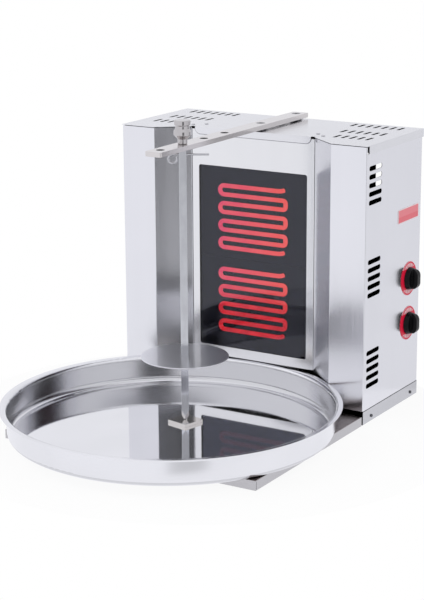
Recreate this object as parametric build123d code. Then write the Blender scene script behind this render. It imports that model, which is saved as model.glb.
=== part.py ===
"""Electric vertical broiler: an upright spit over a round drip tray, before a glass-fronted heater cabinet.

Millimetres. X runs to the right seen from the front, Y to the back, Z up.
The origin is under the middle of the whole object, on the table it stands on.
"""
import os
from math import hypot, sqrt

from build123d import *

# Cabinet
CABINET_WIDTH = 480.0
CABINET_DEPTH = 213.0
CABINET_HEIGHT = 476.0
SHEET = 1.0
SOFT_EDGE = 0.8
BEND_RADIUS = 2.0
PILLAR_WIDTH = 66.0
ALCOVE_DEPTH = 41.0
REAR_RETURN = 16.0

# Cabinet floor and the base plate in front of it
FLOOR_SHEET = 1.5
FLOOR_SOFT_EDGE = 1.2
SKIRT_HEIGHT = 24.0
SKIRT_SEAM = 1.0
SKIRT_TAB_INSET = 12.0
BASE_HEIGHT = 15.8
BASE_REACH = 359.0
BASE_SLIT = 4.5
BASE_LIP = 14.0
BASE_CORNER_SEAM = 1.2
TONGUE_LENGTH = 58.0
TONGUE_INSET = 15.0
TONGUE_FOOT = 22.0
STUD_RADIUS = 3.0
STUD_HEIGHT = 11.0
STUD_OFFSET = 150.0
STUD_NUT_ACROSS = 10.0
STUD_NUT_HEIGHT = 5.0

# Lid
LID_GAP = 0.3
LID_SEAM = 1.2
LID_CORNER_RELIEF = 7.0
LID_FLANGE = 14.0
LID_NOSE = 0.8
LIP_WIDTH = 229.0
LIP_HEIGHT = 12.0
LIP_CORNER = 10.0
LIP_GAP = 0.3
LIP_NOTCH = 4.0
LID_SLOT_LENGTH = 28.0
LID_SLOT_WIDTH = 6.0
LID_SLOT_PITCH = 15.0
LID_SLOT_OUTER_INSET = 30.0
LID_ROW_SHARES = (0.319, 0.568, 0.883)
LID_ROW_COUNTS = (5, 6, 7)

# Side and back vents
SIDE_SLOT_LENGTH = 47.0
SIDE_SLOT_WIDTH = 8.2
SIDE_SLOT_PITCH = 14.3
SIDE_SLOT_COUNT = 5
SIDE_SLOT_SETBACK = 33.0
SIDE_GROUP_SHARES = (0.197, 0.527, 0.858)
BACK_SLOT_LENGTH = 62.0
BACK_SLOT_WIDTH = 12.5
BACK_SLOT_PITCH = 26.0
BACK_SLOT_COUNT = 3
BACK_VENT_OFFSET = 158.0
BACK_VENT_SHARE = 0.83

# Heater frame and glass
FRAME_WIDTH = 244.0
FRAME_SEAM = 0.8
FRAME_TOP_GAP = 3.0
FRAME_FLANGE = 16.0
FRAME_SIDE = 14.5
FRAME_HEAD = 65.0
FRAME_FOOT = 17.0
APRON_CLEARANCE = 4.0
APRON_DROP = 30.0
WINDOW_BOTTOM = 85.0
WINDOW_CORNER = 4.0
GLASS_LAP = 6.0
GLASS_THICKNESS = 4.0
GASKET_THICKNESS = 3.0
HEATER_PAN_DEPTH = 38.0
CLAMP_BAR_HEIGHT = 20.0
CLAMP_BAR_THICKNESS = 2.0
CLAMP_BAR_SHARES = (0.2, 0.8)
BRACKET_WIDTH = 11.0
BRACKET_MARGIN = 8.0
BRACKET_DROP = 22.0
BRACKET_THICKNESS = 1.2

# Heater elements
ELEMENT_RADIUS = 3.75
ELEMENT_BARS = 8
ELEMENT_PITCH = 15.75
ELEMENT_WIDTH = 131.0
ELEMENT_SHIFT = -4.0
ELEMENT_LEFT_BEND_SHARE = 0.49
ELEMENT_RIGHT_BEND_SHARE = 0.34
ELEMENT_END_BEND = 8.0
ELEMENT_END_INSET = 9.0
ELEMENT_SHARES = {"upper": 0.7225, "lower": 0.2615}
ELEMENT_GLASS_GAP = 1.2
ELEMENT_COLD_END = 14.0
COLD_END_CLEARANCE = 1.5
SUPPORT_SPACING = 90.0
SUPPORT_WIDTH = 8.0
SUPPORT_THICKNESS = 1.8
SUPPORT_SADDLE = 0.25
INSULATION_GAP = 2.0

# Controls on the right side panel
CONTROL_INSET = 44.5
CONTROL_LEVELS = {"upper": 220.0, "lower": 140.0}
DIAL_RADIUS = 30.0
DIAL_THICKNESS = 0.8
KNOB_RADIUS = 20.0
KNOB_TOP_RADIUS = 18.2
KNOB_BASE_HEIGHT = 7.5
KNOB_SOFT_EDGE = 1.875
KNOB_GRIP_HEIGHT = 11.0
KNOB_GRIP_WIDTH = 11.0
KNOB_GRIP_CORNER = 12.0
KNOB_GAP = 0.8
KNOB_RECESS_RADIUS = 17.0
KNOB_RECESS_DEPTH = 3.5
KNOB_HUB_RADIUS = 6.0
KNOB_SOCKET_DEPTH = 14.0
SHAFT_RADIUS = 3.0
SHAFT_FLAT = 2.0
SHAFT_CLEARANCE = 0.05
SHAFT_INSIDE = 18.0
REGULATOR_WIDTH = 44.0
REGULATOR_HEIGHT = 36.0
REGULATOR_DEPTH = 30.0
BUSH_RADIUS = 4.8
BUSH_HOLE_CLEARANCE = 0.2
REGULATOR_SCREW_SPACING = 26.0
NAME_PLATE_LENGTH = 79.0
NAME_PLATE_HEIGHT = 24.0
NAME_PLATE_THICKNESS = 0.8
NAME_PLATE_CORNER = 1.5
NAME_PLATE_INSET = 52.0
NAME_PLATE_LEVEL = 336.0

# Drip tray
RIM_RADIUS = 282.0
RIM_OVERHANG = 12.0
RIM_FLARE = 6.0
TRAY_DEPTH = 48.5
TRAY_SHEET = 1.2
TRAY_SOFT_EDGE = 0.48
TRAY_CORNER = 12.0
TRAY_GAP = 0.8

# Spit group
SPIT_SETBACK = 180.0
SPIT_SIDE = 12.0
SPIT_TURN = 32.0
SPIT_POINT_LENGTH = 19.5
SPIT_POINT_TIP = 0.8
SPIT_TOP_GAP = 2.0
PIVOT_SIDE = 41.5
PIVOT_THICKNESS = 5.0
PIVOT_CORNER = 1.0
PIVOT_TURN = -13.0
DIMPLE_DEPTH = 2.5
DIMPLE_RADIUS = 3.0
TIP_CLEARANCE = 0.4
DISC_RADIUS = 73.0
DISC_THICKNESS = 2.0
DISC_SOFT_EDGE = 0.6
DISC_LEVEL = 131.0
DISC_FIT = 0.1
DISC_PIN_RADIUS = 2.0
DISC_PIN_LENGTH = 26.0
TAIL_RADIUS = 4.0
TAIL_LENGTH = 24.0
NECK_CLEARANCE = 0.4
RING_PIN_RADIUS = 1.8
RING_PIN_CLEARANCE = 0.08
RING_PIN_DROP = 7.0
RING_PIN_REACH = 42.5
RING_RADIUS = 7.0
RING_OFFSET = 15.8
RING_SWEEP = 300.0

# Finial above the arm: radii, and the height of each step of the turned outline
FINIAL_NECK_RADIUS = 8.0
FINIAL_BULGE_RADIUS = 14.2
FINIAL_WAIST_RADIUS = 11.6
FINIAL_CAP_RADIUS = 13.2
FINIAL_NECK = 8.0
FINIAL_CONE = 6.5
FINIAL_BULGE = 6.0
FINIAL_TAPER = 4.0
FINIAL_WAIST = 5.0
FINIAL_FLARE = 1.4
FINIAL_CAP = 7.6
FINIAL_SOFT_EDGE = 1.2
FINIAL_LIP_EDGE = 0.7
FINIAL_CROWN_EDGE = 1.6

# Arm over the lid
ARM_WIDTH = 30.0
ARM_THICKNESS = 8.0
ARM_FRONT_REACH = 267.0
ARM_END_CORNER = 3.0
ARM_SPACER = 2.5
ARM_SPACER_RADIUS = 10.0
SPIT_HOLE_RADIUS = 7.0
SPIT_HOLE_PITCH = 65.0
ARM_SCREW_RADIUS = 4.0
ARM_SCREW_HEAD_RADIUS = 8.0
ARM_SCREW_SHARES = (0.329, 0.92)
ARM_SCREW_SOCKET = 5.0
ARM_SCREW_SOCKET_DEPTH = 2.8
ARM_NUT_ACROSS = 13.0
ARM_NUT_HEIGHT = 6.5
STIFFENER_WIDTH = 44.0
STIFFENER_LEG = 18.0
STIFFENER_SHEET = 2.0
STIFFENER_START = 60.0

# Screws and rivets
SCREW_RADIUS = 1.5
SCREW_HEAD_RADIUS = 2.8
SCREW_HEAD_HEIGHT = 1.8
SCREW_HEAD_SOFTNESS = 0.8
SCREW_LENGTH = 9.0
SCREW_CROSS_LENGTH = 3.2
SCREW_CROSS_WIDTH = 0.8
SCREW_CROSS_DEPTH = 1.0
SKIRT_SCREW_SHARES = (0.15, 0.87)
SKIRT_SCREW_LEVEL = 8.5
BACK_SCREW_SHARES = (0.126, 0.525, 0.924)
LID_SCREW_OFFSET = 120.0
RIVET_RADIUS = 2.0
RIVET_HEAD_RADIUS = 3.4
RIVET_HEAD_HEIGHT = 1.0
RIVET_HEAD_SOFTNESS = 0.7
LID_RIVET_OFFSETS = (111.0, 129.0)
LID_RIVET_SETBACKS = (72.5, 57.5)

# Wiring inside and the cable entry at the back
LEAD_RADIUS = 1.5
LEAD_BEND = 8.0
LEAD_STEP = 8.0
TERMINAL_WIDTH = 22.0
TERMINAL_HEIGHT = 24.0
TERMINAL_MARGIN = 8.0
RETURN_LEAD_RUNS = {"upper": 11.0, "lower": 23.0}
GLAND_OFFSET = 150.0
GLAND_LEVEL = 70.0
GLAND_THREAD_RADIUS = 10.0
GLAND_BORE_RADIUS = 5.0
GLAND_ACROSS = 24.0
GLAND_COLLAR = 6.0
GLAND_REACH = 18.0
GLAND_DOME_RADIUS = 11.0
GLAND_NUT_HEIGHT = 5.0
GLAND_TAIL = 9.0
GLAND_HOLE_CLEARANCE = 0.2

# Places that follow from the sizes above
X_SIDE = CABINET_WIDTH / 2
X_PILLAR = X_SIDE - PILLAR_WIDTH
X_FRAME = FRAME_WIDTH / 2
SPLAY = hypot(X_PILLAR - X_FRAME, ALCOVE_DEPTH)
TRAY_TO_CORNER = sqrt((RIM_RADIUS + TRAY_GAP) ** 2 - X_PILLAR**2)
TRAY_TO_SPLAY = ((RIM_RADIUS + TRAY_GAP) * SPLAY - X_PILLAR * ALCOVE_DEPTH) / (X_PILLAR - X_FRAME)
TRAY_SETBACK = max(TRAY_TO_CORNER, TRAY_TO_SPLAY)
Y_FRONT = (TRAY_SETBACK + RIM_RADIUS - CABINET_DEPTH - GLAND_REACH) / 2
Y_BACK = Y_FRONT + CABINET_DEPTH
Y_FRAME = Y_FRONT + ALCOVE_DEPTH
Y_TRAY = Y_FRONT - TRAY_SETBACK
Y_APRON = max(Y_FRAME + FRAME_FLANGE - SHEET, Y_TRAY + RIM_RADIUS + APRON_CLEARANCE)
Y_SPIT = Y_FRONT - SPIT_SETBACK
Y_GLASS = Y_FRAME + SHEET
Y_GASKET = Y_GLASS + GLASS_THICKNESS
Y_PAN = Y_GASKET + GASKET_THICKNESS
Y_PAN_BACK = Y_PAN + HEATER_PAN_DEPTH
Y_ELEMENT = Y_GASKET + ELEMENT_GLASS_GAP + ELEMENT_RADIUS
Y_INSULATION = Y_ELEMENT + ELEMENT_RADIUS - SUPPORT_SADDLE + SUPPORT_THICKNESS
Y_COLD_END = Y_PAN_BACK + ELEMENT_COLD_END
Y_CONTROL = Y_BACK - CONTROL_INSET
Z_LID = CABINET_HEIGHT - SHEET
Z_SHELL_TOP = Z_LID - LID_SEAM
Z_ARM = CABINET_HEIGHT + ARM_SPACER
Z_ARM_TOP = Z_ARM + ARM_THICKNESS
Z_TRAY_FLOOR = BASE_HEIGHT + TRAY_SHEET
Z_PIVOT_TOP = Z_TRAY_FLOOR + PIVOT_THICKNESS
Z_SPIT_TIP = Z_PIVOT_TOP - DIMPLE_DEPTH + TIP_CLEARANCE
Z_SPIT_TOP = Z_ARM - SPIT_TOP_GAP
Z_RING_PIN = Z_SPIT_TOP - RING_PIN_DROP
WALL_RADIUS = RIM_RADIUS - RIM_OVERHANG
WINDOW_WIDTH = FRAME_WIDTH - 2 * FRAME_SIDE
WINDOW_HEIGHT = Z_LID - FRAME_HEAD - WINDOW_BOTTOM
FRAME_BOTTOM = WINDOW_BOTTOM - FRAME_FOOT
GLASS_HALF = WINDOW_WIDTH / 2 + GLASS_LAP
GLASS_BOTTOM = WINDOW_BOTTOM - GLASS_LAP
GLASS_TOP = WINDOW_BOTTOM + WINDOW_HEIGHT + GLASS_LAP
FRAME_HALF = X_FRAME - FRAME_SEAM
PANEL_INSIDE = X_SIDE - SHEET
DIAL_FACE = X_SIDE + DIAL_THICKNESS
KNOB_FOOT = DIAL_FACE + KNOB_GAP
X_COLD_END = ELEMENT_SHIFT + ELEMENT_WIDTH / 2 - ELEMENT_END_INSET
NECK_RADIUS = SPIT_HOLE_RADIUS - NECK_CLEARANCE
ELEMENT_LEVELS = {name: WINDOW_BOTTOM + share * WINDOW_HEIGHT for name, share in ELEMENT_SHARES.items()}
CLAMP_BAR_LEVELS = [WINDOW_BOTTOM + share * WINDOW_HEIGHT for share in CLAMP_BAR_SHARES]


def block(x, y, z):
    """Box between the given (low, high) pairs."""
    middle = Pos((x[0] + x[1]) / 2, (y[0] + y[1]) / 2, (z[0] + z[1]) / 2)
    return middle * Box(x[1] - x[0], y[1] - y[0], z[1] - z[0])


def rod(start, direction, radius, length):
    """Round bar of the given length from a point along a direction."""
    end_up = (Align.CENTER, Align.CENTER, Align.MIN)
    return Plane(origin=start, z_dir=direction) * Cylinder(radius, length, align=end_up)


def hexagon(start, direction, across, length):
    """Hexagon bar, given across its flats."""
    outline = RegularPolygon(across / 2, 6, major_radius=False)
    return extrude(Plane(origin=start, z_dir=direction) * outline, length)


def bent_sheet(points, thickness, radius):
    """Outline of a sheet folded along points, with its thickness to the right of them."""
    folds = FilletPolyline(*points, radius=radius)
    return make_face(offset(folds, amount=thickness, side=Side.RIGHT).edges())


def slots(places, plane, length, width, depth, turned=0):
    """Round-ended slot cutters at the given places of a plane, reaching to both of its sides."""
    cutters = Part()
    for u, v in places:
        outline = plane * Pos(u, v) * SlotOverall(length, width, rotation=turned)
        cutters += extrude(outline, depth, both=True)
    return cutters


def mirrored(part):
    """The part's twin on the other side of the middle plane."""
    return mirror(part, Plane.YZ)


def both_sides(part):
    """The part and its twin as one group."""
    return Compound(children=[*part.solids(), *mirrored(part).solids()])


def group(parts):
    """Separate solids kept as one group."""
    return Compound(children=[solid for part in parts for solid in part.solids()])


def pan_head_screw(seat, inward, length):
    """Cross-recessed screw whose head sits on a face at seat and whose shank runs inward."""
    outward = tuple(-value for value in inward)
    head = rod(seat, outward, SCREW_HEAD_RADIUS, SCREW_HEAD_HEIGHT)
    rim = head.edges().filter_by(GeomType.CIRCLE).sort_by(lambda edge: edge.center().dot(Vector(*inward)))[0]
    screw = fillet(rim, SCREW_HEAD_SOFTNESS) + rod(seat, inward, SCREW_RADIUS, length)
    cross = Plane(origin=seat, z_dir=outward).offset(SCREW_HEAD_HEIGHT)
    for turned in (0, 90):
        arm = cross * Rot(0, 0, turned) * Box(SCREW_CROSS_LENGTH, SCREW_CROSS_WIDTH, 2 * SCREW_CROSS_DEPTH)
        screw -= arm
    return screw


def skirt_screw_seats():
    return [(X_SIDE, Y_FRONT + share * CABINET_DEPTH, SKIRT_SCREW_LEVEL) for share in SKIRT_SCREW_SHARES]


def back_screw_seats():
    x = X_SIDE - REAR_RETURN / 2
    return [(side * x, Y_BACK, share * CABINET_HEIGHT) for side in (-1, 1) for share in BACK_SCREW_SHARES]


def lid_screw_seats():
    y = Y_BACK + LID_GAP + SHEET
    z = CABINET_HEIGHT - LID_FLANGE / 2
    return [(side * LID_SCREW_OFFSET, y, z) for side in (-1, 1)]


def stud_places():
    y = Y_FRONT + TONGUE_LENGTH + TONGUE_FOOT / 2
    return [(side * STUD_OFFSET, y) for side in (-1, 1)]


def arm_screw_places():
    return [Y_FRONT + share * CABINET_DEPTH for share in ARM_SCREW_SHARES]


def regulator_screw_seats(level):
    half = REGULATOR_SCREW_SPACING / 2
    return [(DIAL_FACE, Y_CONTROL + side * half, level) for side in (-1, 1)]


def lid_rivet_places():
    return [(x, Y_FRONT + setback) for x, setback in zip(LID_RIVET_OFFSETS, LID_RIVET_SETBACKS)]


def frame_rivet_places():
    return [(Y_FRAME + FRAME_FLANGE / 2, level) for level in CLAMP_BAR_LEVELS]


# Base and floor
def base_plate():
    """Folded plate under the tray, with a tongue that passes into the cabinet and a foot on its floor."""
    front = Y_FRONT - BASE_REACH
    rear = Y_FRONT - BASE_SLIT
    sheet = FLOOR_SHEET
    top = block((-X_SIDE, X_SIDE), (front, rear), (BASE_HEIGHT - sheet, BASE_HEIGHT))
    top_edges = top.edges().group_by(Axis.Z)[-1].sort_by(Axis.Y)[:3]
    plate = fillet(top_edges, FLOOR_SOFT_EDGE)
    plate += block((-X_SIDE, X_SIDE), (front, front + sheet), (0, BASE_HEIGHT - sheet))
    plate += block((-X_SIDE, X_SIDE), (front, front + BASE_LIP), (0, sheet))
    flange_front = front + sheet + BASE_CORNER_SEAM
    for side in (-1, 1):
        edge = sorted((side * X_SIDE, side * (X_SIDE - sheet)))
        lip = sorted((side * X_SIDE, side * (X_SIDE - BASE_LIP)))
        plate += block(edge, (flange_front, rear), (0, BASE_HEIGHT - sheet))
        plate += block(lip, (front + BASE_LIP + BASE_CORNER_SEAM, rear), (0, sheet))
    tongue = X_SIDE - TONGUE_INSET
    end = Y_FRONT + TONGUE_LENGTH
    plate += block((-tongue, tongue), (rear, end), (BASE_HEIGHT - sheet, BASE_HEIGHT))
    plate += block((-tongue, tongue), (end - sheet, end), (sheet, BASE_HEIGHT))
    plate += block((-tongue, tongue), (end - sheet, end + TONGUE_FOOT), (sheet, 2 * sheet))
    for x, y in stud_places():
        plate -= rod((x, y, 0), (0, 0, 1), STUD_RADIUS, BASE_HEIGHT)
    return plate


def cabinet_floor():
    """Floor pan of the cabinet, open to the front, with skirts turned up on three sides."""
    sheet = FLOOR_SHEET
    skirt = (0, SKIRT_HEIGHT - SKIRT_SEAM)
    pan = block((-X_SIDE, X_SIDE), (Y_FRONT, Y_BACK), (0, sheet))
    pan += block((-X_SIDE, X_SIDE), (Y_BACK - sheet, Y_BACK), skirt)
    for side in (-1, 1):
        edge = sorted((side * X_SIDE, side * (X_SIDE - sheet)))
        pan += block(edge, (Y_FRONT, Y_BACK), skirt)
    uprights = pan.edges().filter_by(Axis.Z).group_by(Axis.Y)[-1]
    pan = fillet(uprights, FLOOR_SOFT_EDGE)
    for x, y, z in skirt_screw_seats():
        pan -= rod((-x, y, z), (1, 0, 0), SCREW_RADIUS, CABINET_WIDTH)
    return pan


def floor_studs():
    """Weld studs that stand on the floor pan and hold the foot of the base plate."""
    return group([rod((x, y, FLOOR_SHEET), (0, 0, 1), STUD_RADIUS, STUD_HEIGHT) for x, y in stud_places()])


def stud_nuts():
    nuts = []
    for x, y in stud_places():
        nut = hexagon((x, y, 2 * FLOOR_SHEET), (0, 0, 1), STUD_NUT_ACROSS, STUD_NUT_HEIGHT)
        nuts.append(nut - rod((x, y, 0), (0, 0, 1), STUD_RADIUS, BASE_HEIGHT))
    return group(nuts)


# Cabinet sheets
def right_side_shell(with_controls):
    """Side panel, pillar front and splayed wall in one bent sheet, with a tab inside the skirt."""
    rear = Y_BACK - SHEET
    outline = bent_sheet(
        [
            (X_SIDE - REAR_RETURN, rear),
            (X_SIDE, rear),
            (X_SIDE, Y_FRONT),
            (X_PILLAR, Y_FRONT),
            (X_FRAME, Y_FRAME),
            (X_FRAME, Y_FRAME + FRAME_FLANGE),
        ],
        SHEET,
        BEND_RADIUS,
    )
    shell = Pos(0, 0, SKIRT_HEIGHT) * extrude(outline, Z_SHELL_TOP - SKIRT_HEIGHT)
    relief = (Y_FRONT + BEND_RADIUS, Y_FRONT + LID_CORNER_RELIEF)
    shell -= block((X_SIDE - 2 * SHEET, X_SIDE), relief, (CABINET_HEIGHT - LID_FLANGE, Z_SHELL_TOP))
    tab_outside = X_SIDE - FLOOR_SHEET
    tab_length = (Y_FRONT + SKIRT_TAB_INSET, rear - SKIRT_TAB_INSET)
    joggle = (SKIRT_HEIGHT, SKIRT_HEIGHT + SHEET)
    shell += block((tab_outside - SHEET, X_SIDE), tab_length, joggle)
    shell += block((tab_outside - SHEET, tab_outside), tab_length, (2 * FLOOR_SHEET, SKIRT_HEIGHT + SHEET))
    half_rows = (SIDE_SLOT_COUNT - 1) / 2
    places = [
        (Y_FRONT + SIDE_SLOT_SETBACK, share * CABINET_HEIGHT + (row - half_rows) * SIDE_SLOT_PITCH)
        for share in SIDE_GROUP_SHARES
        for row in range(SIDE_SLOT_COUNT)
    ]
    side_plane = Plane(origin=(X_SIDE, 0, 0), x_dir=(0, 1, 0), z_dir=(1, 0, 0))
    shell -= slots(places, side_plane, SIDE_SLOT_LENGTH, SIDE_SLOT_WIDTH, 2 * SHEET)
    for seat in skirt_screw_seats():
        shell -= rod(seat, (-1, 0, 0), SCREW_RADIUS, SCREW_LENGTH)
    for x, y, z in back_screw_seats():
        shell -= rod((x, y, z), (0, -1, 0), SCREW_RADIUS, SCREW_LENGTH)
    for y, z in frame_rivet_places():
        shell -= rod((0, y, z), (1, 0, 0), RIVET_RADIUS, X_PILLAR)
    if with_controls:
        bush_hole = BUSH_RADIUS + BUSH_HOLE_CLEARANCE
        for level in CONTROL_LEVELS.values():
            shell -= rod((PANEL_INSIDE, Y_CONTROL, level), (1, 0, 0), bush_hole, SHEET)
            for x, y, z in regulator_screw_seats(level):
                shell -= rod((x, y, z), (-1, 0, 0), SCREW_RADIUS, DIAL_THICKNESS + SHEET)
    return shell


def back_panel():
    """Flat rear sheet on the side shells' returns, with a tab in the skirt, two vents and the cable hole."""
    edge = X_SIDE - BEND_RADIUS
    panel = block((-edge, edge), (Y_BACK - SHEET, Y_BACK), (SKIRT_HEIGHT, Z_LID))
    tab_outside = Y_BACK - FLOOR_SHEET
    tab_end = X_SIDE - REAR_RETURN - SKIRT_TAB_INSET
    tab_width = (-tab_end, tab_end)
    joggle = (SKIRT_HEIGHT, SKIRT_HEIGHT + SHEET)
    panel += block(tab_width, (tab_outside - SHEET, Y_BACK), joggle)
    panel += block(tab_width, (tab_outside - SHEET, tab_outside), (2 * FLOOR_SHEET, SKIRT_HEIGHT + SHEET))
    half_count = (BACK_SLOT_COUNT - 1) / 2
    places = [
        (side * BACK_VENT_OFFSET + (column - half_count) * BACK_SLOT_PITCH, BACK_VENT_SHARE * CABINET_HEIGHT)
        for side in (-1, 1)
        for column in range(BACK_SLOT_COUNT)
    ]
    back_plane = Plane(origin=(0, Y_BACK, 0), x_dir=(1, 0, 0), z_dir=(0, -1, 0))
    panel -= slots(places, back_plane, BACK_SLOT_LENGTH, BACK_SLOT_WIDTH, 2 * SHEET, turned=90)
    for seat in back_screw_seats() + lid_screw_seats():
        panel -= rod(seat, (0, -1, 0), SCREW_RADIUS, SCREW_LENGTH)
    hole = GLAND_THREAD_RADIUS + GLAND_HOLE_CLEARANCE
    panel -= rod((GLAND_OFFSET, Y_BACK, GLAND_LEVEL), (0, -1, 0), hole, 2 * SHEET)
    return panel


def top_lid():
    """Lid that follows the alcove, with flanges on three sides and a lip over the heater frame."""
    side = X_SIDE + LID_GAP + SHEET
    rear = Y_BACK + LID_GAP + SHEET
    nose = Y_FRONT - LID_NOSE
    fold = Y_FRAME - LIP_GAP - SHEET
    right_edge = [(X_FRAME, fold), (X_PILLAR, nose), (side, nose), (side, rear)]
    left_edge = [(-x, y) for x, y in reversed(right_edge)]
    outline = make_face(Polyline(*right_edge, *left_edge, close=True).edges())
    lid = Pos(0, 0, Z_LID) * extrude(outline, SHEET)
    upper_edges = lid.edges().group_by(Axis.Z)[-1]
    lid = fillet(upper_edges.filter_by(Axis.Y) + [upper_edges.sort_by(Axis.Y)[-1]], SOFT_EDGE)
    flange = (CABINET_HEIGHT - LID_FLANGE, Z_LID)
    lid += block((-side, side), (rear - SHEET, rear), flange)
    for sign in (-1, 1):
        edge = sorted((sign * side, sign * (side - SHEET)))
        lid += block(edge, (Y_FRONT + LID_CORNER_RELIEF, rear), flange)
    half_lip = LIP_WIDTH / 2
    lip = block((-half_lip, half_lip), (fold, fold + SHEET), (CABINET_HEIGHT - LIP_HEIGHT, Z_LID))
    lower_corners = lip.edges().filter_by(Axis.Y).group_by(Axis.Z)[0]
    lid += fillet(lower_corners, LIP_CORNER)
    for sign in (-1, 1):
        notch = sorted((sign * half_lip, sign * X_FRAME))
        lid -= block(notch, (fold - SHEET, fold + LIP_NOTCH), (Z_LID, CABINET_HEIGHT))
    outer = X_SIDE - LID_SLOT_OUTER_INSET
    for share, count in zip(LID_ROW_SHARES, LID_ROW_COUNTS):
        y = Y_FRONT + share * CABINET_DEPTH
        row = [(outer - step * LID_SLOT_PITCH, y) for step in range(count)]
        row += [(-x, y) for x, _ in row]
        lid -= slots(row, Plane.XY.offset(Z_LID), LID_SLOT_LENGTH, LID_SLOT_WIDTH, 2 * SHEET, turned=90)
    for y in arm_screw_places():
        lid -= rod((0, y, Z_LID), (0, 0, 1), ARM_SCREW_RADIUS, SHEET)
    for seat in lid_screw_seats():
        lid -= rod(seat, (0, -1, 0), SCREW_RADIUS, SHEET)
    for x, y in lid_rivet_places():
        lid -= both_sides(rod((x, y, Z_LID), (0, 0, 1), RIVET_RADIUS, SHEET))
    return lid


def heater_frame():
    """Front sheet round the glass, its sides folded back, its foot back and down behind the tray."""
    top = Z_LID - FRAME_TOP_GAP
    fold = FRAME_BOTTOM + SHEET
    width = (-FRAME_HALF, FRAME_HALF)
    height = (FRAME_BOTTOM, top)
    depth = (Y_FRAME, Y_FRAME + FRAME_FLANGE)
    frame = block(width, depth, height)
    corners = frame.edges().filter_by(Axis.Z).group_by(Axis.Y)[0]
    frame = fillet(corners, SOFT_EDGE)
    inside = FRAME_HALF - SHEET
    frame -= block((-inside, inside), (Y_GLASS, depth[1]), (fold, top))
    frame += block(width, (Y_GLASS, Y_APRON + SHEET), (FRAME_BOTTOM, fold))
    frame += block(width, (Y_APRON, Y_APRON + SHEET), (FRAME_BOTTOM - APRON_DROP, fold))
    middle = WINDOW_BOTTOM + WINDOW_HEIGHT / 2
    window = Plane(origin=(0, Y_FRAME, middle), x_dir=(1, 0, 0), z_dir=(0, -1, 0))
    window *= RectangleRounded(WINDOW_WIDTH, WINDOW_HEIGHT, WINDOW_CORNER)
    frame -= extrude(window, 2 * SHEET, both=True)
    for y, z in frame_rivet_places():
        frame -= rod((-X_FRAME, y, z), (1, 0, 0), RIVET_RADIUS, FRAME_WIDTH)
    return frame


# Glass and heaters
def glass_outline(y, depth, margin=0.0):
    """Slab with the outline of the glass, shrunk by a margin."""
    half = GLASS_HALF - margin
    return block((-half, half), (y, y + depth), (GLASS_BOTTOM + margin, GLASS_TOP - margin))


def glass_pane():
    pane = glass_outline(Y_GLASS, GLASS_THICKNESS)
    return fillet(pane.edges().filter_by(Axis.Y), WINDOW_CORNER)


def glass_gasket():
    ring = glass_outline(Y_GASKET, GASKET_THICKNESS)
    return ring - glass_outline(Y_GASKET, GASKET_THICKNESS, GLASS_LAP)


def heater_pan():
    """Sheet box behind the glass that holds the insulation, with holes for the cold ends."""
    pan = glass_outline(Y_PAN, HEATER_PAN_DEPTH)
    pan -= glass_outline(Y_PAN, HEATER_PAN_DEPTH - SHEET, SHEET)
    return pan - cold_end_holes()


def element_bars(level):
    """Heights of an element's bars, from the top one down."""
    half = (ELEMENT_BARS - 1) / 2
    return [level + (half - bar) * ELEMENT_PITCH for bar in range(ELEMENT_BARS)]


def cold_ends():
    """Places where the elements' ends pass out through the back of the pan."""
    heights = [element_bars(level) for level in ELEMENT_LEVELS.values()]
    return [(X_COLD_END, bars[end]) for bars in heights for end in (0, -1)]


def cold_end_holes():
    radius = ELEMENT_RADIUS + COLD_END_CLEARANCE
    return group([rod((x, Y_PAN, z), (0, 1, 0), radius, HEATER_PAN_DEPTH) for x, z in cold_ends()])


def heater_element(level):
    """Sheathed element bent to and fro, both ends turned back through the pan."""
    left = ELEMENT_SHIFT - ELEMENT_WIDTH / 2
    right = ELEMENT_SHIFT + ELEMENT_WIDTH / 2
    heights = element_bars(level)
    left_bend = ELEMENT_LEFT_BEND_SHARE * ELEMENT_PITCH
    right_bend = ELEMENT_RIGHT_BEND_SHARE * ELEMENT_PITCH
    points = [(X_COLD_END, Y_COLD_END, heights[0]), (X_COLD_END, Y_ELEMENT, heights[0])]
    radii = [ELEMENT_END_BEND]
    for bar, z in enumerate(heights[:-1]):
        turn = left if bar % 2 == 0 else right
        points += [(turn, Y_ELEMENT, z), (turn, Y_ELEMENT, heights[bar + 1])]
        radii += [left_bend if bar % 2 == 0 else right_bend] * 2
    points += [(X_COLD_END, Y_ELEMENT, heights[-1]), (X_COLD_END, Y_COLD_END, heights[-1])]
    radii += [ELEMENT_END_BEND]
    path = FilletPolyline(*points, radius=radii)
    section = Plane(origin=points[0], z_dir=(0, -1, 0)) * Circle(ELEMENT_RADIUS)
    return sweep(section, path=path)


def insulation(name):
    """Fibre slab behind one element."""
    inside = GLASS_HALF - SHEET
    middle = sum(ELEMENT_LEVELS.values()) / 2
    if name == "upper":
        height = (middle + INSULATION_GAP / 2, GLASS_TOP - SHEET)
    else:
        height = (GLASS_BOTTOM + SHEET, middle - INSULATION_GAP / 2)
    slab = block((-inside, inside), (Y_INSULATION, Y_PAN_BACK - SHEET), height)
    return slab - cold_end_holes()


def element_supports():
    """Upright strips between the bars and the insulation, two to an element, with a saddle for each bar."""
    depth = (Y_INSULATION - SUPPORT_THICKNESS, Y_INSULATION)
    strips = []
    for level in ELEMENT_LEVELS.values():
        heights = element_bars(level)
        reach = (heights[-1] - ELEMENT_RADIUS, heights[0] + ELEMENT_RADIUS)
        for side in (-1, 1):
            x = ELEMENT_SHIFT + side * SUPPORT_SPACING / 2
            strip = block((x - SUPPORT_WIDTH / 2, x + SUPPORT_WIDTH / 2), depth, reach)
            for z in heights:
                strip -= rod((-X_FRAME, Y_ELEMENT, z), (1, 0, 0), ELEMENT_RADIUS, FRAME_WIDTH)
            strips.append(strip)
    return group(strips)


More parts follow.
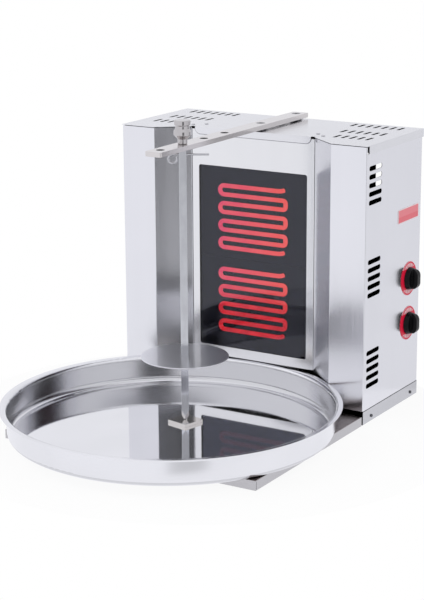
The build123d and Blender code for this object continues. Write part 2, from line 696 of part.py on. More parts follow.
def clamp_bars():
    """Bars across the back of the pan, their ends turned forward to the frame's flanges."""
    bars = []
    inside = FRAME_HALF - SHEET
    for level in CLAMP_BAR_LEVELS:
        height = (level - CLAMP_BAR_HEIGHT / 2, level + CLAMP_BAR_HEIGHT / 2)
        rear = Y_PAN_BACK + CLAMP_BAR_THICKNESS
        bar = block((-inside, inside), (Y_PAN_BACK, rear), height)
        for side in (-1, 1):
            leg = sorted((side * inside, side * (inside - CLAMP_BAR_THICKNESS)))
            bar += block(leg, (Y_GLASS + SHEET, rear), height)
        for y, z in frame_rivet_places():
            bar -= rod((-X_FRAME, y, z), (1, 0, 0), RIVET_RADIUS, FRAME_WIDTH)
        bars.append(bar)
    return group(bars)


def frame_rivets():
    """Rivets through the shell return, the frame flange and the leg of the clamp bar."""
    inner = FRAME_HALF - SHEET - CLAMP_BAR_THICKNESS
    outer = X_FRAME + SHEET
    rivets = []
    for y, z in frame_rivet_places():
        shank = rod((inner, y, z), (1, 0, 0), RIVET_RADIUS, outer - inner)
        head = rod((outer, y, z), (1, 0, 0), RIVET_HEAD_RADIUS, RIVET_HEAD_HEIGHT)
        tail = rod((inner, y, z), (-1, 0, 0), RIVET_HEAD_RADIUS, RIVET_HEAD_HEIGHT)
        rivets.append(both_sides(shank + head + tail))
    return group(rivets)


def frame_brackets():
    """Angles riveted under the lid, each with a leg behind the head of the heater frame."""
    places = lid_rivet_places()
    inner = places[0][0] - BRACKET_MARGIN
    outer = places[1][0] + BRACKET_MARGIN
    rear = places[0][1] + BRACKET_MARGIN
    leg = (inner, inner + BRACKET_WIDTH)
    level = (Z_LID - BRACKET_THICKNESS, Z_LID)
    bracket = block((inner, outer), (places[1][1] - BRACKET_MARGIN, rear), level)
    bracket += block(leg, (Y_GLASS, rear), level)
    bracket += block(leg, (Y_GLASS, Y_GLASS + BRACKET_THICKNESS), (Z_LID - BRACKET_DROP, Z_LID))
    for x, y in places:
        bracket -= rod((x, y, Z_LID), (0, 0, -1), RIVET_RADIUS, BRACKET_THICKNESS)
    return both_sides(bracket)


def lid_rivets():
    grip = SHEET + BRACKET_THICKNESS
    rivets = []
    for x, y in lid_rivet_places():
        head = rod((x, y, CABINET_HEIGHT), (0, 0, 1), RIVET_HEAD_RADIUS, RIVET_HEAD_HEIGHT)
        head = fillet(head.edges().group_by(Axis.Z)[-1], RIVET_HEAD_SOFTNESS)
        shank = rod((x, y, CABINET_HEIGHT), (0, 0, -1), RIVET_RADIUS, grip)
        tail = rod((x, y, CABINET_HEIGHT - grip), (0, 0, -1), RIVET_HEAD_RADIUS, RIVET_HEAD_HEIGHT)
        rivets.append(both_sides(head + shank + tail))
    return group(rivets)


# Controls
def regulator(level):
    """Energy regulator behind the panel, its bush reaching through to the dial's face."""
    body = block(
        (PANEL_INSIDE - REGULATOR_DEPTH, PANEL_INSIDE),
        (Y_CONTROL - REGULATOR_WIDTH / 2, Y_CONTROL + REGULATOR_WIDTH / 2),
        (level - REGULATOR_HEIGHT / 2, level + REGULATOR_HEIGHT / 2),
    )
    body += rod((PANEL_INSIDE, Y_CONTROL, level), (1, 0, 0), BUSH_RADIUS, DIAL_FACE - PANEL_INSIDE)
    bore_start = PANEL_INSIDE - SHAFT_INSIDE - SHAFT_CLEARANCE
    body -= rod((bore_start, Y_CONTROL, level), (1, 0, 0), SHAFT_RADIUS + SHAFT_CLEARANCE, REGULATOR_DEPTH)
    for seat in regulator_screw_seats(level):
        body -= rod(seat, (-1, 0, 0), SCREW_RADIUS, SCREW_LENGTH)
    return body


def dial(level):
    """Thin round plate on the panel, under the knob."""
    plate = rod((X_SIDE, Y_CONTROL, level), (1, 0, 0), DIAL_RADIUS, DIAL_THICKNESS)
    plate -= rod((X_SIDE, Y_CONTROL, level), (1, 0, 0), BUSH_RADIUS + BUSH_HOLE_CLEARANCE, DIAL_THICKNESS)
    for seat in regulator_screw_seats(level):
        plate -= rod(seat, (-1, 0, 0), SCREW_RADIUS, DIAL_THICKNESS)
    return plate


def regulator_screws():
    return group([
        pan_head_screw(seat, (-1, 0, 0), SCREW_LENGTH)
        for level in CONTROL_LEVELS.values()
        for seat in regulator_screw_seats(level)
    ])


def shaft_section(start, level, length):
    """Shaft end with one flat, so that the knob turns it."""
    round_end = rod((start, Y_CONTROL, level), (1, 0, 0), SHAFT_RADIUS, length)
    flat = (Y_CONTROL + SHAFT_FLAT, Y_CONTROL + SHAFT_RADIUS)
    cut = block((start, start + length), flat, (level - SHAFT_RADIUS, level + SHAFT_RADIUS))
    return round_end - cut


def regulator_shaft(level):
    start = PANEL_INSIDE - SHAFT_INSIDE
    shaft = rod((start, Y_CONTROL, level), (1, 0, 0), SHAFT_RADIUS, KNOB_FOOT - start)
    return shaft + shaft_section(KNOB_FOOT, level, KNOB_SOCKET_DEPTH)


def knob(level):
    """Round knob with a raised bar to grip, hollow below round its hub."""
    seat = Plane(origin=(KNOB_FOOT, Y_CONTROL, level), x_dir=(0, 1, 0), z_dir=(1, 0, 0))
    upward = (Align.CENTER, Align.CENTER, Align.MIN)
    body = Cone(KNOB_RADIUS, KNOB_TOP_RADIUS, KNOB_BASE_HEIGHT, align=upward)
    body = fillet(body.edges().group_by(Axis.Z)[-1], KNOB_SOFT_EDGE)
    height = KNOB_BASE_HEIGHT + KNOB_GRIP_HEIGHT
    grip = extrude(SlotOverall(2 * KNOB_TOP_RADIUS, KNOB_GRIP_WIDTH, rotation=90), height)
    side_view = Box(KNOB_GRIP_WIDTH, 2 * KNOB_TOP_RADIUS, height, align=upward)
    far_edges = side_view.edges().filter_by(Axis.X).group_by(Axis.Z)[-1]
    body += grip & fillet(far_edges, KNOB_GRIP_CORNER)
    hollow = Cylinder(KNOB_RECESS_RADIUS, KNOB_RECESS_DEPTH, align=upward)
    hollow -= Cylinder(KNOB_HUB_RADIUS, KNOB_RECESS_DEPTH, align=upward)
    return seat * (body - hollow) - shaft_section(KNOB_FOOT, level, KNOB_SOCKET_DEPTH)


def name_plate():
    """Bare plate on the side panel."""
    place = Plane(
        origin=(X_SIDE, Y_BACK - NAME_PLATE_INSET, NAME_PLATE_LEVEL),
        x_dir=(0, 1, 0),
        z_dir=(1, 0, 0),
    )
    outline = RectangleRounded(NAME_PLATE_LENGTH, NAME_PLATE_HEIGHT, NAME_PLATE_CORNER)
    return extrude(place * outline, NAME_PLATE_THICKNESS)


# Wiring and cable entry
def lead_paths():
    """Routes of the leads: element to regulator, element to terminal block, block to regulator."""
    x = X_COLD_END
    start = Y_COLD_END
    block_top = FLOOR_SHEET + TERMINAL_HEIGHT
    face = PANEL_INSIDE - REGULATOR_DEPTH
    paths = []
    for side, name in ((1, "upper"), (-1, "lower")):
        heights = element_bars(ELEMENT_LEVELS[name])
        level = CONTROL_LEVELS[name]
        live = Y_CONTROL + side * LEAD_STEP
        feed = Y_CONTROL + side * 2 * LEAD_STEP
        back = start + RETURN_LEAD_RUNS[name]
        paths.append([(x, start, heights[0]), (x, live, heights[0]), (x, live, level), (face, live, level)])
        paths.append([(x, start, heights[-1]), (x, back, heights[-1]), (x, back, block_top)])
        paths.append([(x, feed, block_top), (x, feed, level), (face, feed, level)])
    return paths


def internal_leads():
    leads = []
    for points in lead_paths():
        path = FilletPolyline(*points, radius=LEAD_BEND)
        first_run = Vector(*points[1]) - Vector(*points[0])
        section = Plane(origin=points[0], z_dir=first_run) * Circle(LEAD_RADIUS)
        leads.append(sweep(section, path=path))
    return group(leads)


def terminal_block():
    """Insulating block on the cabinet floor, as long as the leads that land on it."""
    landings = [Y_COLD_END + run for run in RETURN_LEAD_RUNS.values()]
    landings += [Y_CONTROL + side * 2 * LEAD_STEP for side in (-1, 1)]
    length = (min(landings) - TERMINAL_MARGIN, max(landings) + TERMINAL_MARGIN)
    width = (X_COLD_END - TERMINAL_WIDTH / 2, X_COLD_END + TERMINAL_WIDTH / 2)
    return block(width, length, (FLOOR_SHEET, FLOOR_SHEET + TERMINAL_HEIGHT))


def cable_gland():
    """Screwed gland in the back panel, with an open bore for the supply cable."""
    backward = (0, 1, 0)
    tail = (GLAND_OFFSET, Y_BACK - SHEET - GLAND_TAIL, GLAND_LEVEL)
    collar = (GLAND_OFFSET, Y_BACK, GLAND_LEVEL)
    neck = (GLAND_OFFSET, Y_BACK + GLAND_COLLAR, GLAND_LEVEL)
    dome = rod(neck, backward, GLAND_DOME_RADIUS, GLAND_REACH - GLAND_COLLAR)
    gland = fillet(dome.edges().group_by(Axis.Y)[-1], (GLAND_DOME_RADIUS - GLAND_BORE_RADIUS) / 2)
    gland += hexagon(collar, backward, GLAND_ACROSS, GLAND_COLLAR)
    gland += rod(tail, backward, GLAND_THREAD_RADIUS, GLAND_TAIL + SHEET)
    return gland - rod(tail, backward, GLAND_BORE_RADIUS, GLAND_TAIL + SHEET + GLAND_REACH)


def gland_nut():
    seat = (GLAND_OFFSET, Y_BACK - SHEET, GLAND_LEVEL)
    nut = hexagon(seat, (0, -1, 0), GLAND_ACROSS, GLAND_NUT_HEIGHT)
    return nut - rod(seat, (0, -1, 0), GLAND_THREAD_RADIUS, GLAND_NUT_HEIGHT)


# Arm on the lid
def top_arm():
    """Flat bar over the lid and the tray, with a row of holes for the spit."""
    rear = Y_BACK
    front = Y_FRONT - ARM_FRONT_REACH
    arm = block((-ARM_WIDTH / 2, ARM_WIDTH / 2), (front, rear), (Z_ARM, Z_ARM_TOP))
    arm = fillet(arm.edges().filter_by(Axis.Z).group_by(Axis.Y)[0], ARM_END_CORNER)
    for step in (-1, 0, 1, 2):
        arm -= rod((0, Y_SPIT + step * SPIT_HOLE_PITCH, Z_ARM), (0, 0, 1), SPIT_HOLE_RADIUS, ARM_THICKNESS)
    for y in arm_screw_places():
        arm -= arm_screw_body(y)
    return arm


def arm_screw_body(y):
    """Countersunk screw down through the arm, spacer, lid, stiffener and nut."""
    sink = ARM_SCREW_HEAD_RADIUS - ARM_SCREW_RADIUS
    foot = Z_LID - STIFFENER_SHEET - ARM_NUT_HEIGHT
    upward = (Align.CENTER, Align.CENTER, Align.MIN)
    head = Pos(0, y, Z_ARM_TOP - sink) * Cone(ARM_SCREW_RADIUS, ARM_SCREW_HEAD_RADIUS, sink, align=upward)
    return head + rod((0, y, foot), (0, 0, 1), ARM_SCREW_RADIUS, Z_ARM_TOP - sink - foot)


def arm_screws():
    screws = []
    for y in arm_screw_places():
        socket = hexagon((0, y, Z_ARM_TOP), (0, 0, -1), ARM_SCREW_SOCKET, ARM_SCREW_SOCKET_DEPTH)
        screws.append(arm_screw_body(y) - socket)
    return group(screws)


def arm_spacers():
    spacers = []
    for y in arm_screw_places():
        ring = rod((0, y, CABINET_HEIGHT), (0, 0, 1), ARM_SPACER_RADIUS, ARM_SPACER)
        spacers.append(ring - rod((0, y, CABINET_HEIGHT), (0, 0, 1), ARM_SCREW_RADIUS, ARM_SPACER))
    return group(spacers)


def arm_stiffener():
    """Channel under the lid that takes the load of the arm."""
    start = Y_FRONT + STIFFENER_START
    end = Y_BACK - SHEET - LID_GAP
    half = STIFFENER_WIDTH / 2
    channel = block((-half, half), (start, end), (Z_LID - STIFFENER_LEG, Z_LID))
    inside = half - STIFFENER_SHEET
    channel -= block((-inside, inside), (start, end), (Z_LID - STIFFENER_LEG, Z_LID - STIFFENER_SHEET))
    for y in arm_screw_places():
        channel -= rod((0, y, Z_LID), (0, 0, -1), ARM_SCREW_RADIUS, STIFFENER_SHEET)
    return channel


def arm_nuts():
    nuts = []
    for y in arm_screw_places():
        seat = (0, y, Z_LID - STIFFENER_SHEET)
        nut = hexagon(seat, (0, 0, -1), ARM_NUT_ACROSS, ARM_NUT_HEIGHT)
        nuts.append(nut - rod(seat, (0, 0, -1), ARM_SCREW_RADIUS, ARM_NUT_HEIGHT))
    return group(nuts)


# Tray
def drip_tray():
    """Round pan, its wall flared out to a wide rim."""
    under_rim = BASE_HEIGHT + TRAY_DEPTH - TRAY_SHEET
    outline = bent_sheet(
        [(RIM_RADIUS, under_rim), (WALL_RADIUS, under_rim), (WALL_RADIUS, BASE_HEIGHT), (0, BASE_HEIGHT)],
        TRAY_SHEET,
        [RIM_FLARE, TRAY_CORNER],
    )
    tray = revolve(Plane.XZ * outline, Axis.Z)
    rim = tray.edges().filter_by(GeomType.CIRCLE).sort_by(lambda edge: edge.radius)[-2:]
    return Pos(0, Y_TRAY, 0) * fillet(rim, TRAY_SOFT_EDGE)


# Spit
def turned_spit(part):
    """Place a part made round the Z axis on the spit's axis, at its rest angle."""
    return Pos(0, Y_SPIT, 0) * Rot(0, 0, SPIT_TURN) * part


def pivot_plate():
    """Square plate on the tray floor with a dimple for the spit's point."""
    upward = (Align.CENTER, Align.CENTER, Align.MIN)
    plate = Box(PIVOT_SIDE, PIVOT_SIDE, PIVOT_THICKNESS, align=upward)
    plate = fillet(plate.edges().filter_by(Axis.Z), PIVOT_CORNER)
    dimple = Cone(SPIT_POINT_TIP, DIMPLE_RADIUS, DIMPLE_DEPTH, align=upward)
    plate -= Pos(0, 0, PIVOT_THICKNESS - DIMPLE_DEPTH) * dimple
    return Pos(0, Y_SPIT, Z_TRAY_FLOOR) * Rot(0, 0, PIVOT_TURN) * plate


def spit_bar():
    """Square bar whose corners are ground to a point, drilled for the finial's tail and the two pins."""
    shoulder = Z_SPIT_TIP + SPIT_POINT_LENGTH
    width = (-SPIT_SIDE / 2, SPIT_SIDE / 2)
    across_corners = sqrt(2) * SPIT_SIDE
    tip = Pos(0, 0, Z_SPIT_TIP) * Rot(0, 0, 45) * Rectangle(SPIT_POINT_TIP, SPIT_POINT_TIP)
    root = Pos(0, 0, shoulder) * Rot(0, 0, 45) * Rectangle(across_corners, across_corners)
    bar = block(width, width, (Z_SPIT_TIP, shoulder)) & loft([tip, root])
    bar += block(width, width, (shoulder, Z_SPIT_TOP))
    bar -= rod((0, 0, Z_SPIT_TOP), (0, 0, -1), TAIL_RADIUS, TAIL_LENGTH)
    bar -= ring_pin_hole()
    bar -= disc_pin_body()
    return turned_spit(bar)


def ring_pin_hole():
    radius = RING_PIN_RADIUS + RING_PIN_CLEARANCE
    return rod((-SPIT_SIDE, 0, Z_RING_PIN), (1, 0, 0), radius, 2 * SPIT_SIDE)


def disc_pin_body():
    z = DISC_LEVEL - DISC_PIN_RADIUS
    return rod((-DISC_PIN_LENGTH / 2, 0, z), (1, 0, 0), DISC_PIN_RADIUS, DISC_PIN_LENGTH)


def disc_pin():
    return turned_spit(disc_pin_body())


def meat_disc():
    """Round plate that carries the meat, with a square hole for the bar."""
    disc = rod((0, 0, DISC_LEVEL), (0, 0, 1), DISC_RADIUS, DISC_THICKNESS)
    disc = fillet(disc.edges(), DISC_SOFT_EDGE)
    half = SPIT_SIDE / 2 + DISC_FIT
    return turned_spit(disc - block((-half, half), (-half, half), (DISC_LEVEL, DISC_LEVEL + DISC_THICKNESS)))


def spit_finial():
    """Turned handle above the arm, its shank through the arm and its tail in the bar."""
    foot = Z_ARM_TOP + NECK_CLEARANCE
    steps = [
        (FINIAL_NECK, FINIAL_NECK_RADIUS),
        (FINIAL_CONE, FINIAL_BULGE_RADIUS),
        (FINIAL_BULGE, FINIAL_BULGE_RADIUS),
        (FINIAL_TAPER, FINIAL_WAIST_RADIUS),
        (FINIAL_WAIST, FINIAL_WAIST_RADIUS),
        (FINIAL_FLARE, FINIAL_CAP_RADIUS),
        (FINIAL_CAP, FINIAL_CAP_RADIUS),
    ]
    height = foot
    outline = [(0, foot), (FINIAL_NECK_RADIUS, foot)]
    for rise, radius in steps:
        height += rise
        outline.append((radius, height))
    outline.append((0, height))
    softness = [0] + [FINIAL_SOFT_EDGE] * 6 + [FINIAL_LIP_EDGE, FINIAL_CROWN_EDGE, 0]
    profile = make_face(FilletPolyline(*outline, radius=softness, close=True).edges())
    finial = revolve(Plane.XZ * profile, Axis.Z)
    finial += rod((0, 0, Z_SPIT_TOP), (0, 0, 1), NECK_RADIUS, foot - Z_SPIT_TOP)
    finial += rod((0, 0, Z_SPIT_TOP - TAIL_LENGTH), (0, 0, 1), TAIL_RADIUS, TAIL_LENGTH)
    return turned_spit(finial - ring_pin_hole())


def ring_pin():
    """Straight wire through the bar, curled to a ring at one end."""
    start = (RING_PIN_REACH, 0, Z_RING_PIN)
    straight = Line(start, (-RING_OFFSET, 0, Z_RING_PIN))
    curl = Plane(origin=(-RING_OFFSET, 0, Z_RING_PIN - RING_RADIUS), x_dir=(1, 0, 0), z_dir=(0, -1, 0))
    curl *= CenterArc((0, 0), RING_RADIUS, 90, RING_SWEEP)
    section = Plane(origin=start, z_dir=(-1, 0, 0)) * Circle(RING_PIN_RADIUS)
    return turned_spit(sweep(section, path=Wire([*straight.edges(), *curl.edges()])))


# Fasteners in groups
def skirt_screws():
    screws = [pan_head_screw(seat, (-1, 0, 0), SCREW_LENGTH) for seat in skirt_screw_seats()]
    return both_sides(group(screws))


def back_screws():
    return group([pan_head_screw(seat, (0, -1, 0), SCREW_LENGTH) for seat in back_screw_seats()])


def lid_screws():
    return group([pan_head_screw(seat, (0, -1, 0), SCREW_LENGTH) for seat in lid_screw_seats()])


def all_nodes():
    """Every piece by the name of its node."""
    nodes = {
        "base_plate": base_plate(),
        "cabinet_floor": cabinet_floor(),
        "floor_studs": floor_studs(),
        "stud_nuts": stud_nuts(),
        "right_side_shell": right_side_shell(with_controls=True),
        "left_side_shell": mirrored(right_side_shell(with_controls=False)),
        "back_panel": back_panel(),
        "top_lid": top_lid(),
        "heater_frame": heater_frame(),
        "glass_pane": glass_pane(),
        "glass_gasket": glass_gasket(),
        "heater_pan": heater_pan(),
        "element_supports": element_supports(),
        "clamp_bars": clamp_bars(),
        "frame_rivets": frame_rivets(),
        "frame_brackets": frame_brackets(),
        "lid_rivets": lid_rivets(),
        "regulator_screws": regulator_screws(),
        "name_plate": name_plate(),
        "internal_leads": internal_leads(),
        "terminal_block": terminal_block(),
        "cable_gland": cable_gland(),
        "gland_nut": gland_nut(),
        "top_arm": top_arm(),
        "arm_screws": arm_screws(),
        "arm_spacers": arm_spacers(),
        "arm_stiffener": arm_stiffener(),
        "arm_nuts": arm_nuts(),
        "drip_tray": drip_tray(),
        "pivot_plate": pivot_plate(),
        "spit_bar": spit_bar(),
        "spit_finial": spit_finial(),
        "meat_disc": meat_disc(),
        "disc_pin": disc_pin(),
        "ring_pin": ring_pin(),
        "skirt_screws": skirt_screws(),
        "back_screws": back_screws(),
        "lid_screws": lid_screws(),
    }
    for name, level in ELEMENT_LEVELS.items():
        nodes[f"{name}_element"] = heater_element(level)
        nodes[f"{name}_insulation"] = insulation(name)
    for name, level in CONTROL_LEVELS.items():
        nodes[f"{name}_regulator"] = regulator(level)
        nodes[f"{name}_shaft"] = regulator_shaft(level)
        nodes[f"{name}_dial"] = dial(level)
        nodes[f"{name}_knob"] = knob(level)
    return nodes


os.makedirs("parts", exist_ok=True)
for node_name, node in all_nodes().items():
    export_step(node, f"parts/{node_name}.step")
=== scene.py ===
"""Studio picture of an electric vertical broiler in brushed stainless steel.

Metres, in the part's own frame: X to the right seen from the front, Y to the back, Z up.
"""
import math

import bpy
from mathutils import Matrix, Vector


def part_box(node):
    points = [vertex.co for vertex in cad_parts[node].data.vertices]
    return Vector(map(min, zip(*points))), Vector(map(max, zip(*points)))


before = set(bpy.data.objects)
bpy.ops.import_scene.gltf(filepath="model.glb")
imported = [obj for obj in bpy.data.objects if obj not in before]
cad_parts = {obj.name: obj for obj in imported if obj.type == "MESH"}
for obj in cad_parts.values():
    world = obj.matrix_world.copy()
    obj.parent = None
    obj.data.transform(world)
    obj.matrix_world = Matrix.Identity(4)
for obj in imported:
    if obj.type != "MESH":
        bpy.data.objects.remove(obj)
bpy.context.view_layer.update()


def middle_of(node):
    """Middle of a node's box."""
    low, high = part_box(node)
    return (Vector(low) + Vector(high)) / 2


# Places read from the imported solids
FRAME_X, FRONT_Y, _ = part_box("right_side_shell")[0]
SIDE_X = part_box("right_side_shell")[1][0]
PILLAR_WIDTH = 0.066
PILLAR_X = SIDE_X - PILLAR_WIDTH
FRAME_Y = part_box("heater_frame")[0][1]
BACK_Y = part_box("back_panel")[1][1]
LID_TOP_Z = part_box("top_lid")[1][2]
ARM_TOP_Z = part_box("top_arm")[1][2]
FLOOR_LOW, FLOOR_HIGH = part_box("cabinet_floor")
BASE_LOW, BASE_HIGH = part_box("base_plate")
TRAY_FLOOR_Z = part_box("pivot_plate")[0][2]

# Camera: where the photograph was taken from
CAMERA_AZIMUTH = math.radians(31.68)
CAMERA_PITCH = math.radians(14.63)
CAMERA_ROLL = math.radians(-0.37)
CAMERA_DISTANCE = 3.0518
CAMERA_TARGET = Vector((-0.0574, FRONT_Y, 0.1798))
CAMERA_SENSOR_MM = 36.0
CAMERA_LENS_MM = 104.67

# Room and floor: what the metal mirrors is white, a little dimmer at the back right, and dark in one
# upright strip beside the camera; only metal that is itself seen in metal shows that strip's upper part
ROOM_TINT = (0.95, 0.955, 1.0, 1)
ROOM_FOR_DIFFUSE = 0.62
DARK_SIDE = Vector((0.695, -0.719, 0.0))
DARK_SIDE_EDGES = (0.951, 0.9976)
DARK_SIDE_HEIGHTS = (-0.55, 0.0)
DARK_SIDE_TOP = (0.04, 0.16)
DARK_SIDE_LEVEL = 0.05
SECOND_MIRROR_DEPTH = (2.0, 3.0)
DIM_SIDE = Vector((0.52, 0.85, 0.0)).normalized()
DIM_SIDE_EDGES = (-0.2, 0.9)
DIM_SIDE_LEVEL = 0.88
FLOOR_RADIUS = 0.45
FLOOR_DROP = 0.0004
FLOOR_COLOUR = (0.94, 0.94, 0.945, 1)
FLOOR_WHITENESS = 0.9

# Finish and painted shade; a span is the part of a noise pattern's range that is used
ALONG = {"X": (1, 0, 0), "Y": (0, 1, 0), "Z": (0, 0, 1)}
EDGE_RADIUS = 0.0005
EDGE_AGREEMENT = (0.995, 0.8)
NOISE_SPAN = (0.3, 0.7)
CLOUD_SPAN = (0.35, 0.65)
GRAIN_TILT = 0.01
TURNING_SCALE = 900
# Near-black painted shade for the cabinet's insides and for the sheet near the heaters
SHADE_BLACK = (0.012, 0.012, 0.013)
GREASE_RUN = (0.03, 0.025, 0.02)
# Colours of painted shade inside the cabinet, of a painted reflection on the base's top and of a painted
# shadow under the lid's lip
PAINTED_SHADES = {"sooty": SHADE_BLACK, "greasy": (0.36, 0.32, 0.31), "grimy": (0.36, 0.36, 0.38)}

# Depths below a sheet's outer face at which its inside or its cut edge begins; painted shade and the base's
# painted reflection start there
SHELL_INSIDE = 0.00075
BACK_INSIDE = 0.0005
LID_INSIDE = 0.0004
LID_SKIN = 0.0002
PAN_INSIDE = 0.0008
PAN_CUT_EDGE = 0.0003
BASE_SKIN = 0.0004
ARM_SKIN = 0.0003

# Places on the pieces that have a finish or a painted shade of their own
SPIT_HOLE_PITCH = 0.065
SPIT_HOLE_REACH = 0.0072
LIP_HALF_WIDTH = 0.1145
LIP_CORNER = 0.010
LIP_HEIGHT = 0.012
LIP_LOW_Z = LID_TOP_Z - LIP_HEIGHT
LIP_SHADOW_LINE = 0.0014
TRAY_RIM_OVERHANG = 0.0126
TRAY_MID_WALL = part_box("drip_tray")[1][0] - TRAY_RIM_OVERHANG
TRAY_WALL_START = (TRAY_FLOOR_Z + 0.0003, TRAY_FLOOR_Z + 0.004)
TRAY_SHADOW_TOP_Z = TRAY_FLOOR_Z + 0.0002
TRAY_SHADOW_WIDTH = 0.008
TRAY_FLOOR_ROUGHNESS = 0.04
TRAY_WALL_ROUGHNESS = 0.16
TRAY_WALL_DULLING = 0.05
DISC_WEAR = (0.01, 0.07)

# Heaters; the low glow begins at these two drops below the upper heater's foot
SHEATH_DARK = (0.10, 0.02, 0.02)
SHEATH_PALE = (0.22, 0.03, 0.03)
GLOW_LEFT = (0.82, 0.050, 0.100)
GLOW_RIGHT = (1.0, 0.085, 0.042)
GLOW_HOTTEST = (1.0, 0.115, 0.085)
GLOW_LOW_COOL = (0.56, 0.009, 0.011)
GLOW_LOW_HOT = (0.82, 0.014, 0.015)
GLOW_LOW_DROPS = (0.11, 0.05)
GLOW_STRENGTH = 1.9
GLOW_IN_METAL = 0.05

# Prints; the dial's bands are shares of its radius
PLATE_BORDER_WIDTH = 0.0012
PLATE_BORDER = (0.92, 0.74, 0.76)
PLATE_UPPER = (0.88, 0.24, 0.28)
PLATE_LOWER = (0.84, 0.16, 0.20)
PLATE_FLECK = (0.90, 0.36, 0.40)
DIAL_DEEP_RED = (0.72, 0.008, 0.040)
DIAL_RED = (0.82, 0.014, 0.060)
DIAL_CAP = (0.86, 0.36, 0.41)
DIAL_MARK = (0.92, 0.78, 0.79)
DIAL_CAP_FROM = 0.61
DIAL_MARK_BAND = (0.70, 0.86)
DIAL_RIM_BAND = (0.90, 0.97)
DIAL_MARKS = 16
DIAL_MARK_SHARE = 0.22


def shade(colour, factor):
    """A colour made darker or brighter."""
    return tuple(min(1.0, factor * channel) for channel in colour)


def stretch(axis, along, across):
    """Texture scale that draws a pattern out along one axis."""
    return tuple(along if chosen else across for chosen in ALONG[axis])


class Nodes:
    """A node tree under construction: adds nodes and links them by name."""

    def __init__(self, owner):
        owner.use_nodes = True
        self.tree = owner.node_tree
        self.tree.nodes.clear()

    def node(self, kind, **settings):
        made = self.tree.nodes.new(kind)
        for key, value in settings.items():
            setattr(made, key, value)
        return made

    def link(self, source, target):
        self.tree.links.new(source, target)

    def feed(self, value, target):
        """Give a socket a number, or the output of another node."""
        if isinstance(value, (int, float)):
            target.default_value = value
        else:
            self.link(value, target)

    def math(self, operation, first, second=0.0):
        made = self.node("ShaderNodeMath", operation=operation)
        self.feed(first, made.inputs[0])
        self.feed(second, made.inputs[1])
        return made.outputs["Value"]

    def remap(self, value, low, high, to_low=0.0, to_high=1.0, curve="LINEAR"):
        made = self.node("ShaderNodeMapRange", interpolation_type=curve)
        for name, level in zip(("From Min", "From Max", "To Min", "To Max"), (low, high, to_low, to_high)):
            made.inputs[name].default_value = level
        self.link(value, made.inputs["Value"])
        return made.outputs["Result"]


class Shader(Nodes):
    """A material: one principled surface, fed by name."""

    def __init__(self, name):
        self.material = bpy.data.materials.new(name)
        super().__init__(self.material)
        self.output = self.node("ShaderNodeOutputMaterial")
        self.surface = self.node("ShaderNodeBsdfPrincipled")
        self.link(self.surface.outputs["BSDF"], self.output.inputs["Surface"])

    def set(self, **values):
        """Constants straight on the shader's own sockets."""
        for key, value in values.items():
            self.surface.inputs[key.replace("_", " ")].default_value = value

    def coords(self, scale=(1, 1, 1), location=(0, 0, 0)):
        """Object coordinates, scaled along each axis."""
        where = self.node("ShaderNodeTexCoord")
        mapping = self.node("ShaderNodeMapping")
        mapping.inputs["Scale"].default_value = scale
        mapping.inputs["Location"].default_value = location
        self.link(where.outputs["Object"], mapping.inputs["Vector"])
        return mapping.outputs["Vector"]

    def xyz(self, origin=(0, 0, 0)):
        """The three object coordinates, measured from an origin."""
        split = self.node("ShaderNodeSeparateXYZ")
        self.link(self.coords(location=tuple(-value for value in origin)), split.inputs["Vector"])
        return split.outputs["X"], split.outputs["Y"], split.outputs["Z"]

    def noise(self, vector, detail=3.0, rough=0.5):
        """Noise whose scale is that of its coordinates."""
        made = self.node("ShaderNodeTexNoise")
        made.inputs["Scale"].default_value = 1.0
        made.inputs["Detail"].default_value = detail
        made.inputs["Roughness"].default_value = rough
        self.link(vector, made.inputs["Vector"])
        return made.outputs["Fac"]

    def length(self, first, second):
        """Distance from the origin in a plane."""
        squares = self.math("ADD", self.math("POWER", first, 2), self.math("POWER", second, 2))
        return self.math("SQRT", squares)

    def between(self, value, low, high):
        """Mask that is 1 where the value lies between two limits."""
        above = self.math("GREATER_THAN", value, low)
        return self.math("MULTIPLY", above, self.math("LESS_THAN", value, high))

    def mix(self, factor, first, second):
        """Colour mix; each colour is a socket or a plain RGB."""
        made = self.node("ShaderNodeMix", data_type="RGBA")
        self.link(factor, made.inputs["Factor"])
        for name, value in (("A", first), ("B", second)):
            socket = next(s for s in made.inputs if s.name == name and s.type == "RGBA")
            if isinstance(value, tuple):
                socket.default_value = (*value, 1)
            else:
                self.link(value, socket)
        return next(s for s in made.outputs if s.type == "RGBA")

    def bump(self, height, distance, under=None):
        made = self.node("ShaderNodeBump")
        made.inputs["Distance"].default_value = distance
        self.link(height, made.inputs["Height"])
        if under is not None:
            self.link(under, made.inputs["Normal"])
        return made.outputs["Normal"]

    def edges(self, radius):
        """Mask that is 1 on sharp edges, and the softened normal there."""
        bevel = self.node("ShaderNodeBevel", samples=6)
        bevel.inputs["Radius"].default_value = radius
        plain = self.node("ShaderNodeNewGeometry")
        agree = self.node("ShaderNodeVectorMath", operation="DOT_PRODUCT")
        self.link(bevel.outputs["Normal"], agree.inputs[0])
        self.link(plain.outputs["Normal"], agree.inputs[1])
        return self.remap(agree.outputs["Value"], *EDGE_AGREEMENT), bevel.outputs["Normal"]

    def draw_out(self, axis):
        """Spread highlights across a grain along an axis, tilted a little off every face's normal."""
        plain = self.node("ShaderNodeNewGeometry")
        across = self.node("ShaderNodeVectorMath", operation="CROSS_PRODUCT")
        across.inputs[1].default_value = tuple(value + GRAIN_TILT for value in ALONG[axis])
        self.link(plain.outputs["Normal"], across.inputs[0])
        self.link(across.outputs["Vector"], self.surface.inputs["Tangent"])

    def paint(self, colour):
        self.link(colour, self.surface.inputs["Base Color"])

    def gloss(self, roughness):
        self.link(roughness, self.surface.inputs["Roughness"])

    def relief(self, normal):
        self.link(normal, self.surface.inputs["Normal"])


